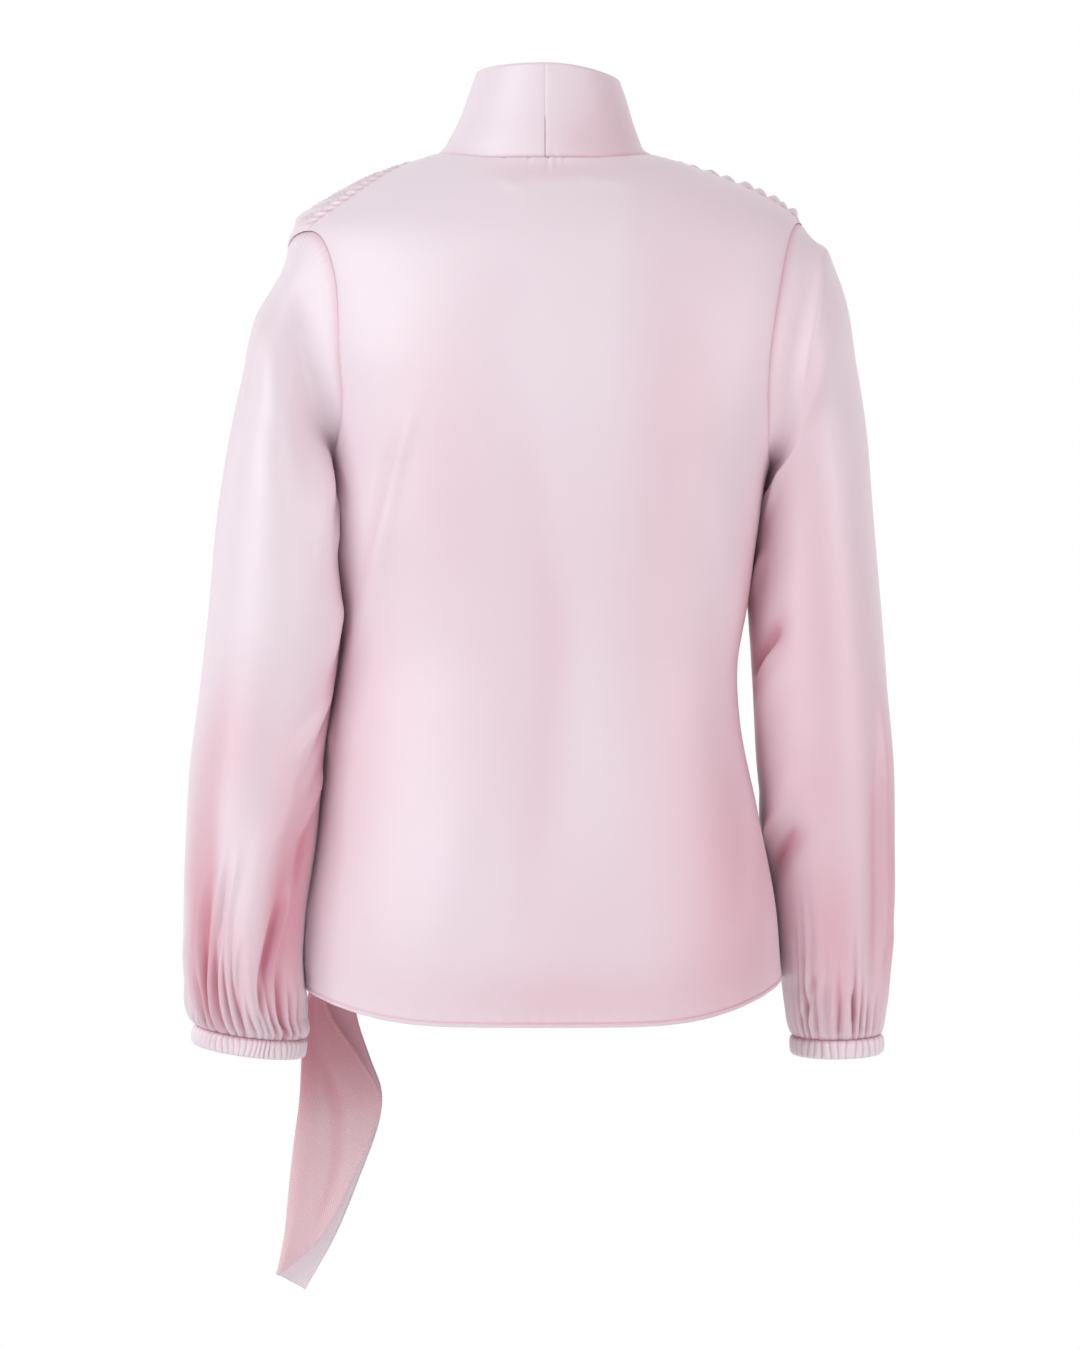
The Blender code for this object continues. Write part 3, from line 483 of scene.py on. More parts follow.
Gather = namedtuple("Gather", "level lean width height length")
LEFT_GATHERS = table_of(
    Gather, (588, 0.55, 2.6, 2.6, 34), (594, 0.60, 2.3, 2.9, 30), (600, 0.62, 2.7, 3.2, 44),
    (607, 0.55, 2.4, 2.8, 30), (613, 0.66, 2.9, 3.4, 52), (620, 0.60, 2.5, 3.0, 34),
    (627, 0.70, 3.0, 3.5, 56), (634, 0.62, 2.4, 2.7, 30), (640, 0.72, 2.8, 3.2, 48),
    (647, 0.66, 2.6, 2.8, 36), (654, 0.74, 3.0, 3.0, 50), (661, 0.70, 2.5, 2.2, 34),
    (668, 0.74, 2.6, 1.7, 40), (675, 0.74, 2.4, 1.0, 26))
RIGHT_GATHERS = table_of(
    Gather, (588, 0.30, 2.6, 2.4, 30), (596, 0.36, 3.2, 3.2, 46), (606, 0.34, 2.8, 2.6, 34),
    (614, 0.40, 3.4, 3.4, 54), (625, 0.38, 3.2, 3.2, 40), (635, 0.42, 3.6, 3.4, 56),
    (647, 0.40, 3.2, 2.8, 42), (658, 0.44, 3.4, 2.4, 50), (669, 0.40, 2.8, 1.4, 36),
    (678, 0.40, 2.4, 0.9, 26))

# Short ticks under the neck seam: an angle round the neck, then how deep and how long each is
Tick = namedtuple("Tick", "angle depth length")
NECK_TICKS = table_of(
    Tick, (62, 0.5, 9), (79, 0.7, 12), (92, 1.1, 20), (98, 0.7, 14), (103, 0.6, 10),
    (128, 0.3, 8), (236, 0.6, 12), (262, 0.8, 16), (284, 0.6, 12), (310, 0.5, 10))

BACK_CREASES = table_of(
    Fold, (43, 452, 26, 318, 6, 1.6), (37, 440, 21, 310, 4.5, -1.1), (14, 505, 8, 430, 6, 1.6),
    (10, 400, 4, 300, 6, 1.5), (4, 236, 14, 196, 7, 1.3), (6, 150, 7, 20, 5, 1.2),
    (10, 62, 2, 30, 3.5, -1.2), (120, 505, 150, 330, 22, 1.2), (78, 470, 96, 250, 26, -1.1),
    (168, 190, 160, 60, 8, 1.0), (60, 660, 82, 640, 9, 0.5), (112, 664, 140, 640, 9, 0.5))
FRONT_CREASES = table_of(
    Fold, (-45, 205, -100, 400, 5, 1.8), (-47, 190, -125, 330, 5, -1.6),
    (-48, 172, -150, 240, 6, 1.6), (-44, 230, -70, 470, 5, 1.4), (-46, 150, -118, 110, 5, 1.4),
    (-36, 150, -48, 30, 5, 1.2), (-12, 500, -18, 380, 7, 1.4), (-168, 500, -160, 400, 7, 1.2),
    (-86, 640, -92, 560, 14, -1.0))
LEFT_CREASES = table_of(
    Fold, (84, 392, 70, 524, 4.2, 2.2), (71, 396, 60, 524, 4.4, 2.4),
    (140, 404, 118, 522, 4.0, 2.0), (128, 420, 106, 524, 3.6, -2.2),
    (60, 450, 52, 526, 3.4, -1.8), (96, 452, 88, 526, 3.6, -1.8), (58, 404, 50, 524, 6.0, -2.4),
    (170, 268, 122, 330, 5.0, 1.5), (168, 292, 128, 352, 4.2, -1.3),
    (162, 204, 150, 262, 6.0, 1.4), (172, 330, 142, 380, 5.0, 1.7),
    (40, 462, 30, 526, 3.6, -1.6), (18, 440, 10, 524, 4.0, 1.6), (168, 70, 158, 160, 6.0, 1.6),
    (20, 40, 34, 120, 9.0, 1.0), (230, 330, 262, 470, 5.0, 2.0),
    (282, 380, 296, 522, 4.4, -2.0), (330, 420, 338, 524, 4.4, 2.0))
RIGHT_CREASES = table_of(
    Fold, (176, 274, 132, 236, 4.4, 1.6), (170, 262, 128, 224, 4.0, -1.5),
    (176, 396, 130, 356, 4.6, 1.8), (168, 412, 124, 372, 4.0, -1.4),
    (34, 260, 40, 516, 4.6, 1.6), (26, 452, 14, 520, 3.6, 2.0), (36, 462, 24, 524, 3.4, -2.0),
    (112, 478, 136, 526, 3.8, -1.8), (94, 486, 100, 526, 3.8, 1.6),
    (74, 492, 70, 526, 3.6, -1.5), (150, 120, 132, 70, 6.0, 1.2),
    (172, 210, 146, 150, 7.0, 1.4), (240, 330, 266, 470, 5.0, 1.8),
    (292, 380, 300, 522, 4.4, -1.8))

# Loops of cloth gathered into each cuff
SLEEVE_LOOPS = {1: 36, -1: 30}
LOOP_DEPTH = {1: 6.4, -1: 4.8}
CREASE_GAIN = 2.5
CUFF_SCALLOPS = {1: 60, -1: 34}

# How far each sleeve laps toward the body, as seen from behind, by the drop under the neck
Lap = namedtuple("Lap", "drop width")
LAP_TURNS = {1: 160, -1: 194}
LAP_SPREAD = 34
LAPS = {
    1: table_of(
        Lap, (178, 0), (198, 6), (216, 9), (236, 10), (262, 7), (290, 5), (320, 3.5),
        (350, 2.6), (380, 3.2), (410, 2.4), (470, 3.4), (500, 2.6), (560, 3.4), (600, 5.5),
        (618, 5), (636, 0)),
    -1: table_of(
        Lap, (172, 0), (192, 5), (214, 9), (236, 10), (262, 6.5), (290, 4), (322, 3.5),
        (344, 1), (362, 0), (470, 0), (490, 3), (530, 3.5), (570, 3), (615, 0)),
}

# Patches of painted shade, where the satin's colour deepens, and of painted light, where it pales:
# its place, how far it spreads and how deep it is
PaintedPatch = namedtuple("PaintedPatch", "around along width length depth")
BACK_PAINTED_PATCHES = table_of(
    PaintedPatch, (50, 430, 22, 110, 0.26), (74, 560, 16, 50, 0.12), (76, 250, 26, 90, 0.06),
    (134, 430, 14, 120, 0.30), (156, 100, 18, 120, 0.72), (92, 672, 44, 18, 0.40),
    (26, 200, 12, 130, 0.30), (8, 330, 9, 150, 0.45), (174, 330, 8, 160, 0.55),
    (112, 210, 16, 100, -0.22), (84, 600, 30, 40, -0.22), (72, 110, 26, 60, -0.16),
    (96, 22, 60, 22, 0.24))
FRONT_PAINTED_PATCHES = table_of(
    PaintedPatch, (-52, 420, 16, 100, 0.34), (-130, 300, 20, 150, 0.30), (-90, 120, 40, 90, 0.20),
    (-88, 660, 40, 20, 0.35))
SLEEVE_PAINTED_PATCHES = {
    1: table_of(
        PaintedPatch, (70, 310, 34, 56, 0.50), (126, 350, 26, 60, 0.34), (142, 440, 30, 90, 1.35),
        (44, 440, 28, 100, 1.20), (88, 480, 20, 50, 0.45), (166, 250, 15, 120, 0.55),
        (158, 60, 20, 60, 0.40), (168, 340, 18, 80, 0.5), (62, 130, 36, 90, -0.25),
        (66, 370, 10, 40, -0.15), (60, 455, 7, 90, 0.50), (124, 450, 8, 60, 0.50),
        (270, 300, 60, 160, 0.30)),
    -1: table_of(
        PaintedPatch, (92, 300, 60, 300, 0.46), (32, 410, 20, 130, 1.05), (172, 240, 18, 120, 0.95),
        (150, 440, 20, 90, 0.40), (92, 460, 34, 70, 0.55), (98, 340, 20, 36, 0.15),
        (64, 110, 22, 80, -0.22), (44, 400, 8, 80, -0.25), (150, 150, 16, 60, 0.30),
        (270, 300, 60, 160, 0.30)),
}
COLLAR_PAINTED_PATCHES = table_of(
    PaintedPatch, (142, 30, 38, 60, 0.45), (112, 10, 18, 14, 0.20), (58, 50, 24, 20, -0.15),
    (270, 30, 60, 50, 0.25))

FOLDS = {1: LEFT_FOLDS, -1: RIGHT_FOLDS}
CREASES = {1: LEFT_CREASES, -1: RIGHT_CREASES}

# Radii that turn degrees round a piece into millimetres beside its seams
PANEL_GIRTH = 165.0
SHOULDER_GIRTH = 150.0
NECK_GIRTH = 58.0
COLLAR_GIRTH = 54.0
SLEEVE_SEAM_GIRTH = 70.0

# How much painted shade deepens the colour in the folds and beside each seam
PANEL_PAINTED_SHADE = {"fold": 0.26, "side": 0.55, "neck": 0.5, "hem": 0.6, "gather": 1.1}
SLEEVE_PAINTED_SHADE = {"loop": 0.75, "fold": 0.7, "armhole": 0.6, "cuff": 0.6}
CUFF_PAINTED_SHADE = {"valley": 0.8, "top": 0.6}
COLLAR_PAINTED_SHADE = {"back": 0.4, "neck": 0.5}
TIE_PAINTED_SHADE = {"fold": 0.28, "layer": 0.35}

GATHERS_OPEN = (584, 592)
GATHERS_CLOSE = (676, 690)
GATHER_WIDTH = 0.74
GATHER_GAIN = 1.35
GATHERS_AT_SEAM = 0.3
BACK_CREASE_GAIN = 1.5
SEAM_DIP = 1.1
SEAM_SOFTNESS = 1.5
PUCKER_PITCH = 7.5
HEM_DEPTH = 3.0
HEM_RISE = 0.45
HEM_LENGTH = 540.0

# Stitches, as shares of their pitch or in millimetres
STITCH_SHARE = 0.62
STITCH_WIDTH = 0.28
STITCH_HEIGHT = 0.22

# How far from a seam its first rows of mesh lie
CLOSE_ROWS = (0, 0.7, 1.5, 2.4, 3.6, 5.2)
COLLAR_SEAM_TURNS = (0.15, 0.9, 1.8, 2.9, 4.4)
CUFF_THICKNESS = 0.0016
COLLAR_THICKNESS = 0.0014

# The studio, in metres
FLOOR_RADIUS = 2.4
KEY_PLACE = (2.1, 1.9, 0.6)
FILL_PLACE = (-2.2, 1.6, 0.1)
LIT_PLACE = (0, 0, -0.4)
CAMERA_PLACE = (0.0037, 3.5, -0.384)
HALF_VIEW = 0.5002


def away_from(angle, centre):
    """The signed turn in degrees from a centre, whichever way is shorter."""
    return (np.asarray(angle) - centre + 180) % 360 - 180


def uneven(turn, amount, seed):
    """A turn in degrees, pushed to and fro so that repeats round a tube aren't alike."""
    flat = np.radians(turn)
    push = np.sin(3 * flat + seed) + 0.7 * np.sin(5 * flat + 2 * seed)
    return turn + amount * (push + 0.5 * np.sin(11 * flat + 3 * seed))


def scallop(turn, count):
    """Round loops with sharp valleys between them: 1 on a crest and 0 in a valley."""
    return np.abs(np.cos(np.radians(turn) * count / 2))


def seam_dip(distance, along):
    """Cloth turns in at a seam, and puckers a little beside it."""
    dip = -SEAM_DIP * bell(distance, SEAM_SOFTNESS)
    pucker = np.sin(2 * np.pi * along / PUCKER_PITCH + 2.1 * np.sin(along / 23))
    return dip + 0.16 * pucker * bell(distance, 4.0)


def painted_patch_shading(rows, around, along):
    """How much painted shade deepens the satin's colour at a place; where negative, painted light
    pales it.
    """
    total = np.zeros(around.shape)
    for row in rows:
        aside, down = (around - row.around) / row.width, (along - row.along) / row.length
        total += row.depth * np.exp(-aside ** 2 - down ** 2)
    return total


def shoulder_gathers(angle, level):
    """Ridges of the front gathered into each shoulder seam, running down from it."""
    total = np.zeros(angle.shape)
    for gathers, seam in ((LEFT_GATHERS, 0), (RIGHT_GATHERS, -180)):
        distance = np.abs(away_from(angle, seam)) * math.radians(SHOULDER_GIRTH)
        for gather in gathers:
            crest = gather.level - gather.lean * distance
            ridge = bell(level - crest, GATHER_WIDTH * gather.width * (1 + distance / 40))
            reached = bell(distance, gather.length)
            total += GATHER_GAIN * gather.height * ridge * reached
    return total


def neck_ticks(angle, level):
    """Small pinches where the panels are eased into the collar."""
    down = NECK_LEVEL - level
    total = np.zeros(angle.shape)
    for tick in NECK_TICKS:
        aside = away_from(angle, tick.angle) * math.radians(NECK_GIRTH)
        pinch = bell(aside, 1.3) - 0.5 * bell(aside - 2.6, 1.8)
        total -= tick.depth * pinch * bell(down, tick.length)
    return total


def hem_roll(distance):
    """The narrow rolled hem: a raised band, with a groove where it is stitched."""
    band = HEM_RISE * (1 - smooth_step(HEM_DEPTH - 0.5, HEM_DEPTH + 0.4, distance))
    turned = -0.5 * bell(distance, 0.5)
    return band + turned - 0.25 * bell(distance - HEM_DEPTH - 0.5, 0.6)


def hem_ripple(along, distance):
    """The stitching pulls the cloth above the hem into faint ripples."""
    wave = np.sin(2 * np.pi * along / 17 + 1.7 * np.sin(along / 41))
    return 0.3 * wave * bell(distance - 4, 10)


def panel_point(front, share, level):
    """A dressed point of the back or front: its place and the painted light and shade mixed into
    its colour.
    """
    left, right = panel_edges(level, front)
    angle = left + (right - left) * share
    base, normal = body_point(angle, level), body_normal(angle, level)
    edge = np.minimum(np.abs(angle - left), np.abs(right - angle)) * math.radians(PANEL_GIRTH)
    calm = smooth_step(0, 26, edge) * (1 - smooth_step(600, NECK_LEVEL, level))
    around = angle * math.radians(BODY_GIRTH)
    in_shoulder = window(GATHERS_OPEN, GATHERS_CLOSE, level)
    if front:
        height = fold_height(FRONT_FOLDS, angle, level, BODY_GIRTH) * calm
        height += fold_height(FRONT_CREASES, angle, level, BODY_GIRTH) * calm
        height = height * tie_calm(angle, level)
        gathers = shoulder_gathers(angle, level) * in_shoulder
        opened = GATHERS_AT_SEAM + (1 - GATHERS_AT_SEAM) * smooth_step(0, 6, edge)
        height += gathers * opened
        # Painted shade in the valleys between the shoulder gathers
        valley = PANEL_PAINTED_SHADE["gather"] * in_shoulder
        valley *= np.clip(1 - gathers / 2.6, 0, 1) ** 1.5
        beside = np.minimum(np.abs(away_from(angle, 0)), np.abs(away_from(angle, 180)))
        painted_tones = painted_patch_shading(FRONT_PAINTED_PATCHES, angle, level) + valley * bell(beside, 12)
    else:
        height = fold_height(BACK_FOLDS, angle, level, BODY_GIRTH) * calm
        fine = fold_height(BACK_CREASES, angle, level, BODY_GIRTH)
        height += BACK_CREASE_GAIN * fine * smooth_step(0, 12, edge)
        pinched = GATHERS_AT_SEAM * in_shoulder * bell(edge, 5)
        height += shoulder_gathers(angle, level) * pinched
        painted_tones = painted_patch_shading(BACK_PAINTED_PATCHES, angle, level)
    height += neck_ticks(angle, level)
    on_side = 1 - 0.75 * smooth_step(ARMPIT_LEVEL, ARMPIT_LEVEL + 24, level)
    seam = seam_dip(edge, level) * on_side + seam_dip(NECK_LEVEL - level, around)
    hem = hem_roll(level) + hem_ripple(around, level)
    # Painted shade deepens the colour in fold troughs, beside the side seams, under the neck seam
    # and in the hem's groove, over the painted patches
    painted_shading = painted_tones + PANEL_PAINTED_SHADE["fold"] * smooth_step(0.3, 3.6, -height)
    painted_shading += PANEL_PAINTED_SHADE["side"] * on_side * bell(edge, 2.2)
    painted_shading += PANEL_PAINTED_SHADE["neck"] * bell(NECK_LEVEL - level, 1.8)
    painted_shading += PANEL_PAINTED_SHADE["hem"] * bell(level - HEM_DEPTH - 0.5, 0.6)
    return base + normal * (height + seam + hem)[:, None], painted_shading


def sleeve_lap(side, turn, drop):
    """How far a point of the sleeve moves toward the body, to close the view between them."""
    rows = LAPS[side]
    width = np.interp(drop, [row.drop for row in rows], [row.width for row in rows])
    return width * bell(turn - LAP_TURNS[side], LAP_SPREAD)


def sleeve_loops(side, turn, reach, last):
    """Loops of the sleeve's fullness above the cuff, each starting at its own height."""
    warped = uneven(turn, 3.2, 1.3 if side > 0 else 4.1)
    flat = np.radians(turn)
    start = 440 + 26 * np.sin(3 * flat + side) + 16 * np.sin(7 * flat + 2.0)
    swell = smooth_step(start, last - 12, reach) * (1 - 0.62 * smooth_step(last - 9, last, reach))
    small = smooth_step(last - 34, last - 8, reach)
    main = scallop(warped, SLEEVE_LOOPS[side]) - 1
    fine = scallop(uneven(turn, 2.0, 2.7), 2 * SLEEVE_LOOPS[side]) - 1
    uneven_depth = 1 + 0.35 * np.sin(5 * flat + 2.2) + 0.2 * np.sin(9 * flat)
    return LOOP_DEPTH[side] * uneven_depth * main * swell + 0.9 * fine * small


def sleeve_cloth(side, turn, reach):
    """A dressed point of a sleeve: its place and the painted light and shade mixed into its
    colour.
    """
    last = SLEEVES[side][-1].reach
    base = sleeve_point(side, turn, reach)
    base[:, 0] -= side * sleeve_lap(side, turn, -base[:, 2])
    normal = sleeve_normal(side, turn, reach)
    _, end_normal = cuff_frame(sleeve_point(side, turn, np.full(turn.shape, last)), side)
    near_cuff = smooth_step(last - 6, last, reach)[:, None]
    normal = unit(normal * (1 - near_cuff) + end_normal * near_cuff)
    height = fold_height(FOLDS[side], turn, reach, SLEEVE_GIRTH) * sleeve_calm(side, turn, reach)
    calm = window((0, 14), (last - 8, last), reach) * (1 - 0.8 * bell(turn - BESIDE_BODY, 22))
    fine = fold_height(CREASES[side], turn, reach, SLEEVE_GIRTH)
    height += CREASE_GAIN * fine * calm
    loops = sleeve_loops(side, turn, reach, last)
    height += loops
    # Painted shade and light in patches, painted shade between the loops, in fold troughs and
    # beside the armhole and cuff seams
    painted_shading = painted_patch_shading(SLEEVE_PAINTED_PATCHES[side], turn, reach)
    painted_shading += SLEEVE_PAINTED_SHADE["loop"] * smooth_step(1.2, 4.6, -loops)
    painted_shading += SLEEVE_PAINTED_SHADE["fold"] * smooth_step(0.5, 5.5, loops - height)
    painted_shading += SLEEVE_PAINTED_SHADE["armhole"] * bell(reach, 2.4)
    painted_shading += SLEEVE_PAINTED_SHADE["cuff"] * smooth_step(last - 4, last, reach)
    seam = seam_dip(reach, turn * math.radians(SLEEVE_SEAM_GIRTH))
    seam -= 1.2 * smooth_step(last - 2.5, last, reach)
    return base + normal * (height + seam)[:, None], painted_shading


def cuff_cloth(side, turn, share):
    """A dressed point of a cuff: elastic draws it into small upright scallops."""
    top = sleeve_point(side, turn, np.full(turn.shape, SLEEVES[side][-1].reach))
    axis, radial = cuff_frame(top, side)
    base = top + axis * (SEAM_GAP / 2 + share * CUFF_HEIGHT)[:, None]
    warped = uneven(turn, 1.6, 0.6 * side + 1)
    crest = scallop(warped + 1.2 * np.sin(3 * share + turn / 9), CUFF_SCALLOPS[side])
    flat = np.radians(turn)
    depth = 1 + 0.3 * np.sin(7 * flat + 1) + 0.2 * np.sin(17 * flat)
    belly = np.sin(np.pi * np.clip(0.06 + 0.88 * share, 0, 1)) ** 0.55
    height = belly * 0.7 + CUFF_RIDGE * depth * (crest - 0.45) * belly
    turned = 1.3 * (bell(share * CUFF_HEIGHT, 1.1) + bell((1 - share) * CUFF_HEIGHT, 0.9))
    # Painted shade in the valleys between the scallops and just under the sleeve's end
    painted_shading = CUFF_PAINTED_SHADE["valley"] * smooth_step(0.55, 0.05, crest)
    painted_shading += CUFF_PAINTED_SHADE["top"] * bell(share * CUFF_HEIGHT, 1.6)
    return base + radial * (height - turned)[:, None], painted_shading


def collar_cloth(angle, rise):
    """A dressed point of the collar, which folds over at its top edge."""
    top = COLLAR[-1].rise
    base = collar_point(angle, rise)
    steady = np.clip(rise, NORMAL_STEP, top - NORMAL_STEP)
    normal = surface_normal(collar_point, angle, steady)
    from_seam = np.abs(away_from(angle, 90)) * math.radians(COLLAR_GIRTH)
    seam = 0.45 * seam_dip(from_seam * 1.6, rise) + seam_dip(rise, angle * 1.1)
    fold = -1.2 * bell(top - rise, 0.8)
    slack = 0.7 * np.sin(np.radians(2 * angle + 40)) * np.sin(np.pi * rise / top)
    pinch = -0.9 * bell(away_from(angle, 96), 3) * bell(rise, 9)
    # Painted shade beside the back seam and above the neck seam, with patches of painted shade and
    # painted light
    painted_shading = COLLAR_PAINTED_SHADE["back"] * bell(from_seam, 0.8) + COLLAR_PAINTED_SHADE["neck"] * bell(rise, 2.0)
    painted_shading += painted_patch_shading(COLLAR_PAINTED_PATCHES, angle, rise)
    height = slack * smooth_step(0, 12, rise) + pinch
    return base + normal * (height + seam + fold)[:, None], painted_shading


def tie_cloth(across, drop):
    """A dressed point of the tie's outer side, hemmed along both of its edges."""
    last = TIE[-1].drop
    middle = tie_point(across, drop)
    low_a, high_a = (np.clip(across + way, -1, 1) for way in (-TIE_STEP, TIE_STEP))
    low_d, high_d = np.clip(drop - 0.5, 0, last), np.clip(drop + 0.5, 0, last)
    along = tie_point(high_a, drop) - tie_point(low_a, drop)
    down = tie_point(across, high_d) - tie_point(across, low_d)
    normal = unit(np.cross(along, down))
    row = read_table(TIE, drop)
    width = np.abs(row["fold"] - np.where(across < 0, row["near"], row["far"]))
    edge = np.minimum((1 - np.abs(across)) * np.maximum(width, 4), last - drop)
    band = 0.4 * (1 - smooth_step(2.6, 3.4, edge)) - 0.4 * bell(edge, 0.5)
    valley = -0.8 * bell(across + 0.52 + 0.18 * np.sin(drop / 45), 0.13)
    soft = valley * window((200, 250), (330, 370), drop)
    # Painted shade in the soft valley, a painted band of shade where the tie hangs under the hem,
    # and painted shade on the far layer
    painted_shading = TIE_PAINTED_SHADE["fold"] * smooth_step(0.2, 0.9, -soft)
    painted_shading += window(UNDER_HEM_SHADE, (190, 290), drop)
    far_layer_shade = smooth_step(0.0, 0.5, across + 0.45) * window(UNDER_HEM_SHADE, (250, 330), drop)
    painted_shading += TIE_PAINTED_SHADE["layer"] * far_layer_shade
    return middle + normal * (TIE_WALL / 2 + band + soft)[:, None], painted_shading


class Wire:
    """A shader socket that takes part in sums, so a finish reads as an expression."""

    def __init__(self, tree, socket=None):
        self.tree = tree
        self.socket = socket

    def node(self, kind, settings, values, output=0):
        made = self.tree.nodes.new(kind)
        for name, value in settings.items():
            setattr(made, name, value)
        for name, value in values.items():
            if isinstance(value, Wire):
                self.tree.links.new(value.socket, made.inputs[name])
            else:
                made.inputs[name].default_value = value
        return Wire(self.tree, made.outputs[output])

    def maths(self, operation, *values):
        return self.node("ShaderNodeMath", {"operation": operation}, dict(enumerate(values)))

    def __add__(self, other):
        return self.maths("ADD", self, other)

    def __sub__(self, other):
        return self.maths("SUBTRACT", self, other)

    def __mul__(self, other):
        return self.maths("MULTIPLY", self, other)

    __radd__ = __add__

    def mix(self, low, high):
        """From one colour to another as this value goes from 0 to 1."""
        settings = {"data_type": "RGBA", "blend_type": "MIX", "clamp_factor": True}
        return self.node("ShaderNodeMix", settings, {0: self, 6: low, 7: high}, 2)


def finish(name):
    """An empty finish: its material, its main shader and a wire to build its pattern with."""
    made = bpy.data.materials.new(name)
    made.use_nodes = True
    return made, made.node_tree.nodes["Principled BSDF"], Wire(made.node_tree)


def connect(wire, shader, socket):
    wire.tree.links.new(wire.socket, shader.inputs[socket])


def noise(wire, place, scale, detail=2.0):
    values = {"Vector": place, "Scale": scale, "Detail": detail, "Roughness": 0.5}
    return wire.node("ShaderNodeTexNoise", {}, values)


def bump(wire, height, distance, strength, under=None):
    values = {"Height": height, "Distance": distance, "Strength": strength}
    if under is not None:
        values["Normal"] = under
    return wire.node("ShaderNodeBump", {}, values)


def satin_finish():
    """Warp-faced satin: smooth and softly glossy, its pink deepened by painted shade in folds,
    beside seams and in patches, and paled by painted light in a few.
    """
    cloth = bpy.context.scene.blouse_cloth
    made, shader, wire = finish("satin_cloth")
    place = wire.node("ShaderNodeTexCoord", {}, {}, "Object")
    thread = wire.node("ShaderNodeUVMap", {}, {})
    painted_shading = wire.node("ShaderNodeAttribute", {"attribute_name": "painted_shading"}, {}, "Fac")
    drawn = wire.node("ShaderNodeMapping", {}, {"Vector": place, "Scale": (5.0, 4.0, 2.2)})
    cloudy = noise(wire, drawn, 1.0, 1.0)
    # The colour mixes toward the painted shade colour by the painted shading attribute; the noise
    # adds tone that varies at random
    colour = (painted_shading * 0.62 + (cloudy - 0.45) * 0.6).mix(tuple(cloth.satin) + (1,),
                                                       tuple(cloth.satin_painted_shade) + (1,))
    grain_place = wire.node("ShaderNodeMapping", {}, {"Vector": thread, "Scale": (2400, 700, 1)})
    grain = noise(wire, grain_place, 1.0, 1.0)
    crinkle = noise(wire, place, 42.0, 3.0)
    lifted = bump(wire, crinkle, 0.0011, 0.35)
    lifted = bump(wire, grain, 0.00012, 0.35, lifted)
    connect(colour, shader, "Base Color")
    connect(0.46 + grain * 0.08, shader, "Roughness")
    connect(lifted, shader, "Normal")
    shader.inputs["Specular IOR Level"].default_value = 0.75
    shader.inputs["Metallic"].default_value = 0.04
    shader.inputs["Coat Weight"].default_value = 0.12
    shader.inputs["Coat Roughness"].default_value = 0.45
    shader.inputs["Sheen Weight"].default_value = 0.2
    shader.inputs["Sheen Roughness"].default_value = 0.5
    shader.inputs["Sheen Tint"].default_value = (1.0, 0.95, 0.98, 1.0)
    return made


def reverse_finish():
    """The satin's matte reverse, with its fine diagonal twill."""
    cloth = bpy.context.scene.blouse_cloth
    made, shader, wire = finish("satin_reverse_cloth")
    place = wire.node("ShaderNodeTexCoord", {}, {}, "Object")
    thread = wire.node("ShaderNodeUVMap", {}, {})
    parts = wire.node("ShaderNodeSeparateXYZ", {}, {"Vector": thread})
    u, v = parts, Wire(wire.tree, parts.socket.node.outputs[1])
    twist = 2 * math.pi / (cloth.twill_pitch * 1.41)
    twill = wire.maths("SINE", u * twist + v * twist) * 0.5 + 0.5
    grain = noise(wire, place, 900.0, 1.0)
    cloudy = noise(wire, place, 11.0)
    painted_shading = wire.node("ShaderNodeAttribute", {"attribute_name": "painted_shading"}, {}, "Fac")
    # The painted shading attribute darkens the reverse as painted shade; twill, grain and noise
    # are its own tone
    tone = twill * 0.22 + grain * 0.22 + (cloudy - 0.5) * 0.3 + 0.4 - painted_shading * 0.55
    colour = tone.mix(tuple(cloth.reverse_ribs_and_shade) + (1,), tuple(cloth.reverse) + (1,))
    connect(colour, shader, "Base Color")
    connect(0.66 + grain * 0.12, shader, "Roughness")
    connect(bump(wire, twill * 0.7 + grain * 0.3, 0.00018, 0.6), shader, "Normal")
    shader.inputs["Specular IOR Level"].default_value = 0.3
    shader.inputs["Sheen Weight"].default_value = 0.15
    return made


def thread_finish():
    """Sewing thread in the satin's own colour, a shade deeper."""
    cloth = bpy.context.scene.blouse_cloth
    made, shader, wire = finish("sewing_thread")
    place = wire.node("ShaderNodeTexCoord", {}, {}, "Object")
    tone = noise(wire, place, 700.0, 1.0)
    connect(tone.mix(tuple(cloth.thread) + (1,), tuple(cloth.satin) + (1,)), shader, "Base Color")
    connect(bump(wire, tone, 0.0001, 0.4), shader, "Normal")
    shader.inputs["Roughness"].default_value = 0.5
    return made


def shared(name, make):
    """A finish that several pieces wear, made once."""
    return bpy.data.materials.get(name) or make()


def placed(name, mesh, materials):
    """An object in the scene that holds a finished mesh."""
    data = bpy.data.meshes.new(name)
    mesh.to_mesh(data)
    mesh.free()
    for material in materials:
        data.materials.append(material)
    piece = bpy.data.objects.new(name, data)
    bpy.context.scene.collection.objects.link(piece)
    return piece


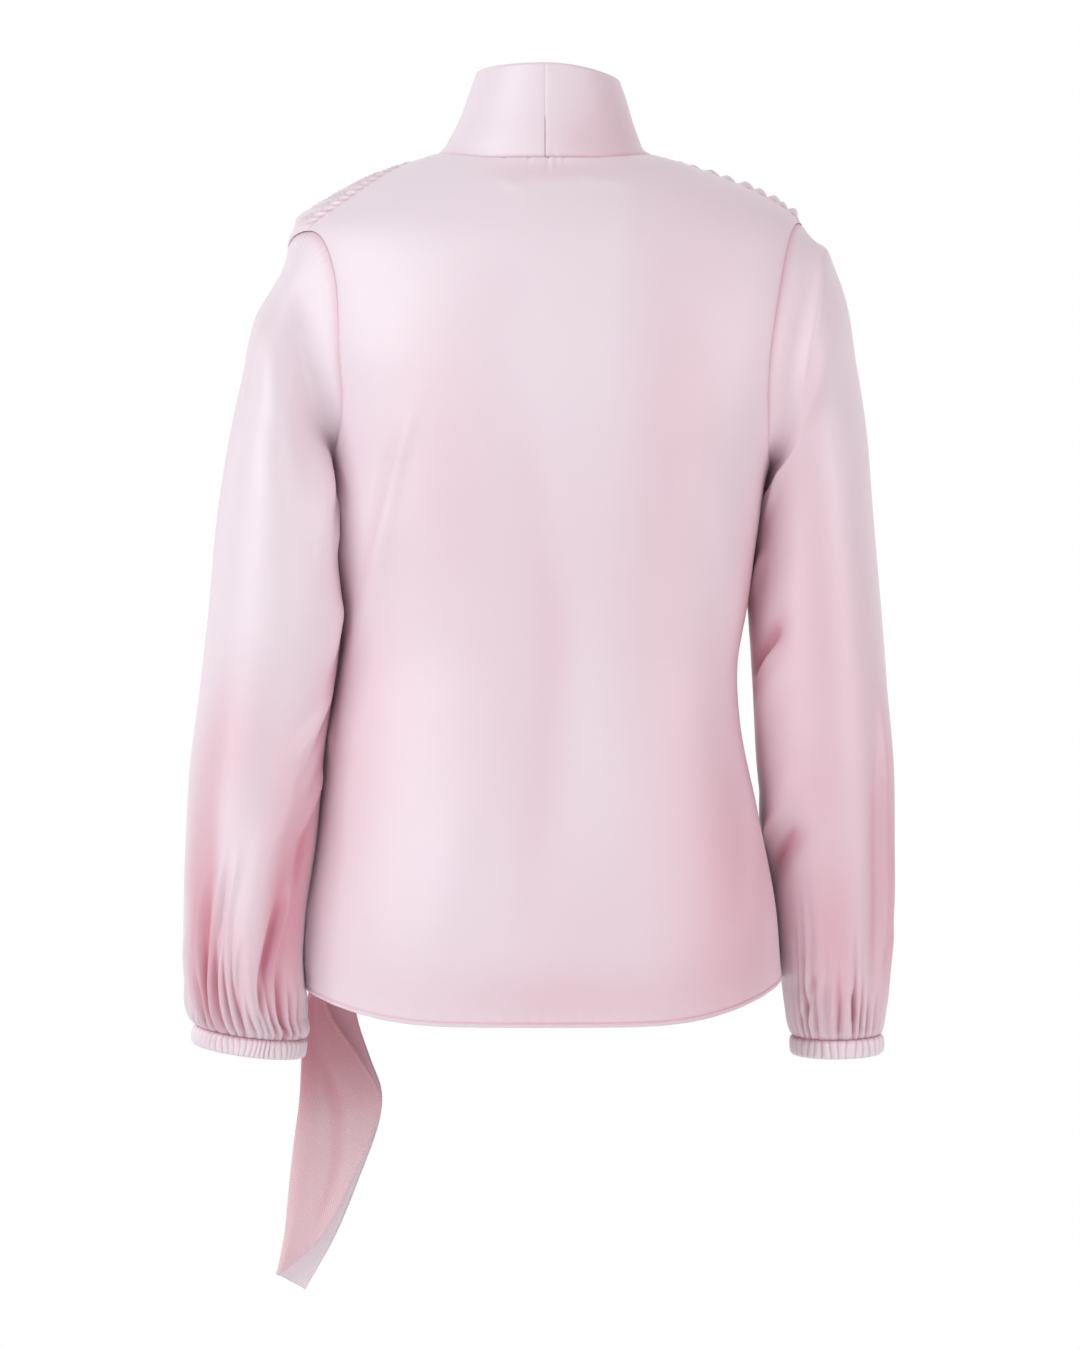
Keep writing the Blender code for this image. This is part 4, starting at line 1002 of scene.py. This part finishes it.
def cloth_sheet(name, across, along, cloth, size, node, faces_in=False, closed=False,
                finishes=("satin", "satin_reverse"), thickness=None):
    """Lay a grid of cloth over the form that cloth(share across, share along) gives."""
    mesh = bmesh.new()
    columns, rows = len(across) - 1, len(along) - 1
    uv = mesh.loops.layers.uv.new("UVMap")
    bmesh.ops.create_grid(mesh, x_segments=columns, y_segments=rows, size=0.5)
    mesh.verts.ensure_lookup_table()
    flat = np.array([vertex.co for vertex in mesh.verts])
    column = np.rint((flat[:, 0] + 0.5) * columns).astype(int)
    row = np.rint((flat[:, 1] + 0.5) * rows).astype(int)
    points, painted_shading = cloth(np.asarray(across, float)[column], np.asarray(along, float)[row])
    # Each vertex keeps the painted light and shade that the finishes mix into the colour
    painted_shading_layer = mesh.verts.layers.float.new("painted_shading")
    shares = [(vertex.co.x + 0.5, vertex.co.y + 0.5) for vertex in mesh.verts]
    for face in mesh.faces:
        for loop in face.loops:
            share = shares[loop.vert.index]
            loop[uv].uv = (share[0] * size[0], share[1] * size[1])
    for vertex, point, depth in zip(mesh.verts, points * METRE, painted_shading):
        vertex.co = point
        vertex[painted_shading_layer] = depth
    if closed:
        bmesh.ops.remove_doubles(mesh, verts=mesh.verts, dist=1e-6)
    if faces_in:
        bmesh.ops.reverse_faces(mesh, faces=mesh.faces)
    makers = {"satin": satin_finish, "satin_reverse": reverse_finish}
    piece = placed(name, mesh, [shared(kind + "_cloth", makers[kind]) for kind in finishes])
    piece.data.shade_smooth()
    wall = piece.modifiers.new("cloth", "SOLIDIFY")
    wall.thickness = thickness or bpy.context.scene.blouse_cloth.thickness
    wall.offset = -1
    wall.material_offset = 1
    wall.use_rim = True
    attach(piece, "root")
    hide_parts(node)
    return piece


def stitch_row(name, places, normals, length):
    """Small thread stitches along a line of places, each lying in the line's direction."""
    mesh = bmesh.new()
    ways = unit(np.gradient(places, axis=0))
    for place, way, normal in zip(places[1:-1], ways[1:-1], normals[1:-1]):
        aside = np.cross(normal, way)
        turned = Matrix([(way * length / 2).tolist(), (aside * STITCH_WIDTH).tolist(),
                         (normal * STITCH_HEIGHT).tolist()]).transposed() * METRE
        spot = Matrix.Translation(Vector(place) * METRE) @ turned.to_4x4()
        bmesh.ops.create_icosphere(mesh, subdivisions=1, radius=1.0, matrix=spot)
    piece = placed(name, mesh, [shared("sewing_thread", thread_finish)])
    piece.data.shade_smooth()
    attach(piece, "root")
    return piece


def hem_stitches(front, name):
    """The stitches of the rolled hem, just above its fold."""
    pitch = bpy.context.scene.blouse_cloth.stitch_pitch / METRE
    count = int(HEM_LENGTH / pitch)
    share = np.linspace(0.004, 0.996, count)
    level = np.full(share.shape, HEM_DEPTH - 0.6)
    left, right = panel_edges(level, front)
    angle = left + (right - left) * share
    places, _ = panel_point(front, share, level)
    return stitch_row(name, places, body_normal(angle, level), pitch * STITCH_SHARE)


def panel_rows(front):
    """Levels of a panel's rows: close at the hem, the armhole's ends and the shoulder."""
    hem = [0, 0.4, 0.9, 1.5, 2.1, 2.6, 3.0, 3.4, 3.9, 4.6, 5.6, 7.0]
    lower = np.linspace(9.5, ARMPIT_LEVEL, 130)[:-1]
    armhole_rows = armhole_level(np.linspace(0, np.pi, 66))
    upper = np.linspace(SHOULDER_LEVEL, NECK_LEVEL - 4, 116 if front else 84)[1:]
    neck = [692.4, 693.4, 694.2, NECK_LEVEL]
    return np.concatenate([hem, lower, armhole_rows, upper, neck])


def panel_columns(count):
    """Shares across a panel: a few close together at each side seam."""
    side = np.array(CLOSE_ROWS) / 560
    middle = np.linspace(side[-1], 1 - side[-1], count)[1:-1]
    return np.concatenate([side, middle, 1 - side[::-1]])


def number(name, description, default, low, high, unit="NONE"):
    return FloatProperty(name=name, description=description, default=default, min=low,
                         max=high, unit=unit)


def colour(name, description, default):
    return FloatVectorProperty(name=name, description=description, default=default, size=3,
                               min=0, max=1, subtype="COLOR")


class ClothSettings(PropertyGroup):
    thickness: number(
        "Cloth thickness", "How thick one layer of satin is",
        0.0006, 0.0003, 0.0015, "LENGTH")
    stitch_pitch: number(
        "Stitch pitch", "From one hem stitch to the next",
        0.0021, 0.0015, 0.004, "LENGTH")
    twill_pitch: number(
        "Twill pitch", "From one diagonal rib of the reverse to the next",
        0.0015, 0.0005, 0.003, "LENGTH")
    satin: colour(
        "Satin", "The colour of the satin where it lies open", (0.885, 0.805, 0.855))
    # The colour painted shade mixes the satin toward, in folds, beside seams and in patches
    satin_painted_shade: colour(
        "Satin in folds", "The colour of the satin down in its folds", (0.68, 0.27, 0.35))
    reverse: colour(
        "Reverse", "The colour of the matte reverse", (0.97, 0.84, 0.88))
    # The reverse's deeper colour, between its ribs and where painted shade darkens it
    reverse_ribs_and_shade: colour(
        "Reverse in the twill", "The colour between the reverse's ribs", (0.64, 0.26, 0.31))
    thread: colour(
        "Thread", "The colour of the sewing thread", (0.66, 0.42, 0.50))


class StudioSettings(PropertyGroup):
    surroundings: number(
        "Surroundings", "How bright the room is behind the photographer", 0.36, 0, 1)
    left_glow: number(
        "Left glow", "How much brighter the room is on the wearer's left", 0.16, -1, 1)
    sky_glow: number(
        "Sky glow", "How much brighter the room is overhead", 0.12, -1, 1)
    key_power: number(
        "Key light", "Power of the large light on the wearer's left",
        41, 0, 200, "POWER")
    fill_power: number(
        "Fill light", "Power of the weaker light on the wearer's right",
        27, 0, 200, "POWER")
    floor_drop: number(
        "Floor", "How far under the neck the floor lies",
        1.3, 0.95, 3, "LENGTH")


class BLOUSE_OT_back(Operator):
    """Lay the back panel, with its rolled hem and the stitches in it"""
    bl_idname = "blouse.back"
    bl_label = "Back panel"

    def execute(self, context):
        piece = cloth_sheet("back_panel", panel_columns(159), panel_rows(False),
                            partial(panel_point, False), (0.56, 0.71), "back")
        hem = hem_stitches(False, "back_hem_stitches")
        return {"FINISHED"}


class BLOUSE_OT_front(Operator):
    """Lay the front panel, gathered into both shoulder seams"""
    bl_idname = "blouse.front"
    bl_label = "Front panel"

    def execute(self, context):
        piece = cloth_sheet("front_panel", panel_columns(142), panel_rows(True),
                            partial(panel_point, True), (0.58, 0.72), "front",
                            faces_in=True)
        hem = hem_stitches(True, "front_hem_stitches")
        return {"FINISHED"}


class BLOUSE_OT_sleeves(Operator):
    """Lay both sleeves, gathered in loops above their cuffs"""
    bl_idname = "blouse.sleeves"
    bl_label = "Sleeves"

    def execute(self, context):
        for name, node, side in (("left_sleeve", "sleeve_left", 1),
                                 ("right_sleeve", "sleeve_right", -1)):
            last = SLEEVES[side][-1].reach
            reach = np.concatenate([CLOSE_ROWS, np.linspace(7.5, 440, 112),
                                    np.linspace(442, last - 4, 60),
                                    last - np.array([2.8, 1.6, 0.7, 0])])
            piece = cloth_sheet(name, np.linspace(0, 360, 253), reach,
                                partial(sleeve_cloth, side), (0.36, 0.60), node,
                                faces_in=side > 0, closed=True)
        return {"FINISHED"}


class BLOUSE_OT_cuffs(Operator):
    """Draw both elastic cuffs into their small scallops"""
    bl_idname = "blouse.cuffs"
    bl_label = "Cuffs"

    def execute(self, context):
        for name, node, side in (("left_cuff", "cuff_left", 1), ("right_cuff", "cuff_right", -1)):
            share = np.concatenate([[0, 0.04, 0.09, 0.15], np.linspace(0.22, 0.8, 9),
                                    [0.86, 0.91, 0.95, 0.98, 1]])
            turn = np.linspace(0, 360, 12 * CUFF_SCALLOPS[side] + 1)
            piece = cloth_sheet(name, turn, share, partial(cuff_cloth, side), (0.3, 0.02), node,
                                faces_in=side > 0, closed=True, thickness=CUFF_THICKNESS)
        return {"FINISHED"}


class BLOUSE_OT_collar(Operator):
    """Stand the funnel collar up, with its seam at the middle of the back"""
    bl_idname = "blouse.collar"
    bl_label = "Collar"

    def execute(self, context):
        top = COLLAR[-1].rise
        beside = np.array(COLLAR_SEAM_TURNS)
        turn = np.concatenate([90 + beside, np.linspace(96, 444, 180), 450 - beside[::-1]])
        rise = np.concatenate([CLOSE_ROWS[:-1], np.linspace(5, top - 2.2, 34),
                               top - np.array([1.5, 0.9, 0.5, 0.2, 0])])
        piece = cloth_sheet("neck_collar", turn, rise, collar_cloth, (0.38, 0.08), "collar",
                            thickness=COLLAR_THICKNESS)
        return {"FINISHED"}


class BLOUSE_OT_tie(Operator):
    """Hang the folded tie at the wearer's left hip, with its narrow hem and stitches"""
    bl_idname = "blouse.tie"
    bl_label = "Tie"

    def execute(self, context):
        last = TIE[-1].drop
        share = np.linspace(-1, 1, 97)
        across = np.sign(share) * (1 - (1 - np.abs(share)) ** 1.15)
        across = np.sort(np.concatenate([across, [-0.985, 0.985, -0.02, 0.02, -0.05, 0.05]]))
        drop = np.concatenate([np.linspace(0, last - 5, 190),
                               last - np.array([3.8, 3, 2, 1, 0.4, 0])])
        piece = cloth_sheet("hanging_tie", across, drop, tie_cloth, (0.1, 0.39), "tie",
                            finishes=("satin_reverse", "satin"))
        for edge, name in ((-1, "near"), (1, "far")):
            pitch = context.scene.blouse_cloth.stitch_pitch / METRE
            down = np.arange(175.0, last - 6, pitch)
            row = read_table(TIE, down)
            width = np.abs(row["fold"] - row["near" if edge < 0 else "far"])
            beside = edge * (1 - 2.4 / np.maximum(width, 8))
            places, _ = tie_cloth(beside, down)
            inner, _ = tie_cloth(beside * 0.96, down)
            below, _ = tie_cloth(beside, np.clip(down + 0.5, 0, last))
            normals = unit(np.cross((inner - places) * -edge, below - places))
            stitch_row(f"tie_{name}_stitches", places, normals, pitch * STITCH_SHARE)
        return {"FINISHED"}


class BLOUSE_OT_stage(Operator):
    """Set the floor, the white surroundings, the soft lights and the camera"""
    bl_idname = "blouse.stage"
    bl_label = "Studio"

    def execute(self, context):
        studio = context.scene.blouse_studio
        made, shader, _ = finish("studio_floor")
        shader.inputs["Base Color"].default_value = (0.9, 0.9, 0.9, 1)
        shader.inputs["Roughness"].default_value = 0.8
        mesh = bmesh.new()
        bmesh.ops.create_circle(mesh, cap_ends=True, radius=FLOOR_RADIUS, segments=96,
                                matrix=Matrix.Translation((0, 0, -studio.floor_drop)))
        floor = placed("studio_floor", mesh, [made])
        self.room(context, studio)
        context.scene.view_settings.view_transform = "Standard"
        self.light(context, "key_light", KEY_PLACE, 2.0, studio.key_power, (1.0, 0.985, 1.0))
        self.light(context, "fill_light", FILL_PLACE, 1.6, studio.fill_power, (1.0, 0.93, 0.95))
        lens = bpy.data.cameras.new("camera")
        lens.sensor_fit = "VERTICAL"
        lens.angle = 2 * math.atan(HALF_VIEW / CAMERA_PLACE[1])
        camera = bpy.data.objects.new("camera", lens)
        camera.location = CAMERA_PLACE
        camera.rotation_euler = (math.pi / 2, 0, math.pi)
        context.scene.collection.objects.link(camera)
        context.scene.camera = camera
        return {"FINISHED"}

    def room(self, context, studio):
        """A white room, dimmer behind the photographer and brighter on the wearer's left."""
        world = bpy.data.worlds.new("white_room")
        world.use_nodes = True
        wire = Wire(world.node_tree)
        way = wire.node("ShaderNodeTexCoord", {}, {}, "Generated")
        x = wire.node("ShaderNodeSeparateXYZ", {}, {"Vector": way})
        y, z = (Wire(wire.tree, x.socket.node.outputs[i]) for i in (1, 2))
        ahead = y.node("ShaderNodeMapRange", {"interpolation_type": "SMOOTHSTEP"},
                       {"Value": y, "From Min": -0.9, "From Max": 0.1, "To Min": 1.0,
                        "To Max": 0.0})
        level = studio.surroundings + x * studio.left_glow + z * studio.sky_glow
        room = level.mix((0.0, 0.0, 0.0, 1), (1.0, 0.91, 0.95, 1))
        connect(ahead.mix(room, (1.0, 1.0, 1.0, 1)), world.node_tree.nodes["Background"], "Color")
        context.scene.world = world

    def light(self, context, name, place, size, power, colour):
        lamp = bpy.data.lights.new(name, "AREA")
        lamp.size = size
        lamp.energy = power
        lamp.color = colour
        light = bpy.data.objects.new(name, lamp)
        light.location = place
        way = Vector(LIT_PLACE) - Vector(place)
        light.rotation_euler = way.to_track_quat("-Z", "Y").to_euler()
        context.scene.collection.objects.link(light)


class BLOUSE_PT_sidebar(Panel):
    bl_label = "Satin blouse"
    bl_idname = "BLOUSE_PT_sidebar"
    bl_space_type = "VIEW_3D"
    bl_region_type = "UI"
    bl_category = "Blouse"

    def draw(self, context):
        column = self.layout.column()
        for settings in (context.scene.blouse_cloth, context.scene.blouse_studio):
            for name in settings.bl_rna.properties.keys():
                if name not in ("rna_type", "name"):
                    column.prop(settings, name)
        for step in STEPS:
            column.operator(step.bl_idname)


STEPS = (BLOUSE_OT_stage, BLOUSE_OT_back, BLOUSE_OT_front, BLOUSE_OT_sleeves, BLOUSE_OT_cuffs,
         BLOUSE_OT_collar, BLOUSE_OT_tie)
CLASSES = (ClothSettings, StudioSettings) + STEPS + (BLOUSE_PT_sidebar,)


def register():
    for kind in CLASSES:
        bpy.utils.register_class(kind)
    bpy.types.Scene.blouse_cloth = PointerProperty(type=ClothSettings)
    bpy.types.Scene.blouse_studio = PointerProperty(type=StudioSettings)


def unregister():
    del bpy.types.Scene.blouse_studio
    del bpy.types.Scene.blouse_cloth
    for kind in reversed(CLASSES):
        bpy.utils.unregister_class(kind)


def main():
    register()
    for step in STEPS:
        group, name = step.bl_idname.split(".")
        getattr(getattr(bpy.ops, group), name)()
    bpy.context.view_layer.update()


if __name__ == "__main__":
    main()
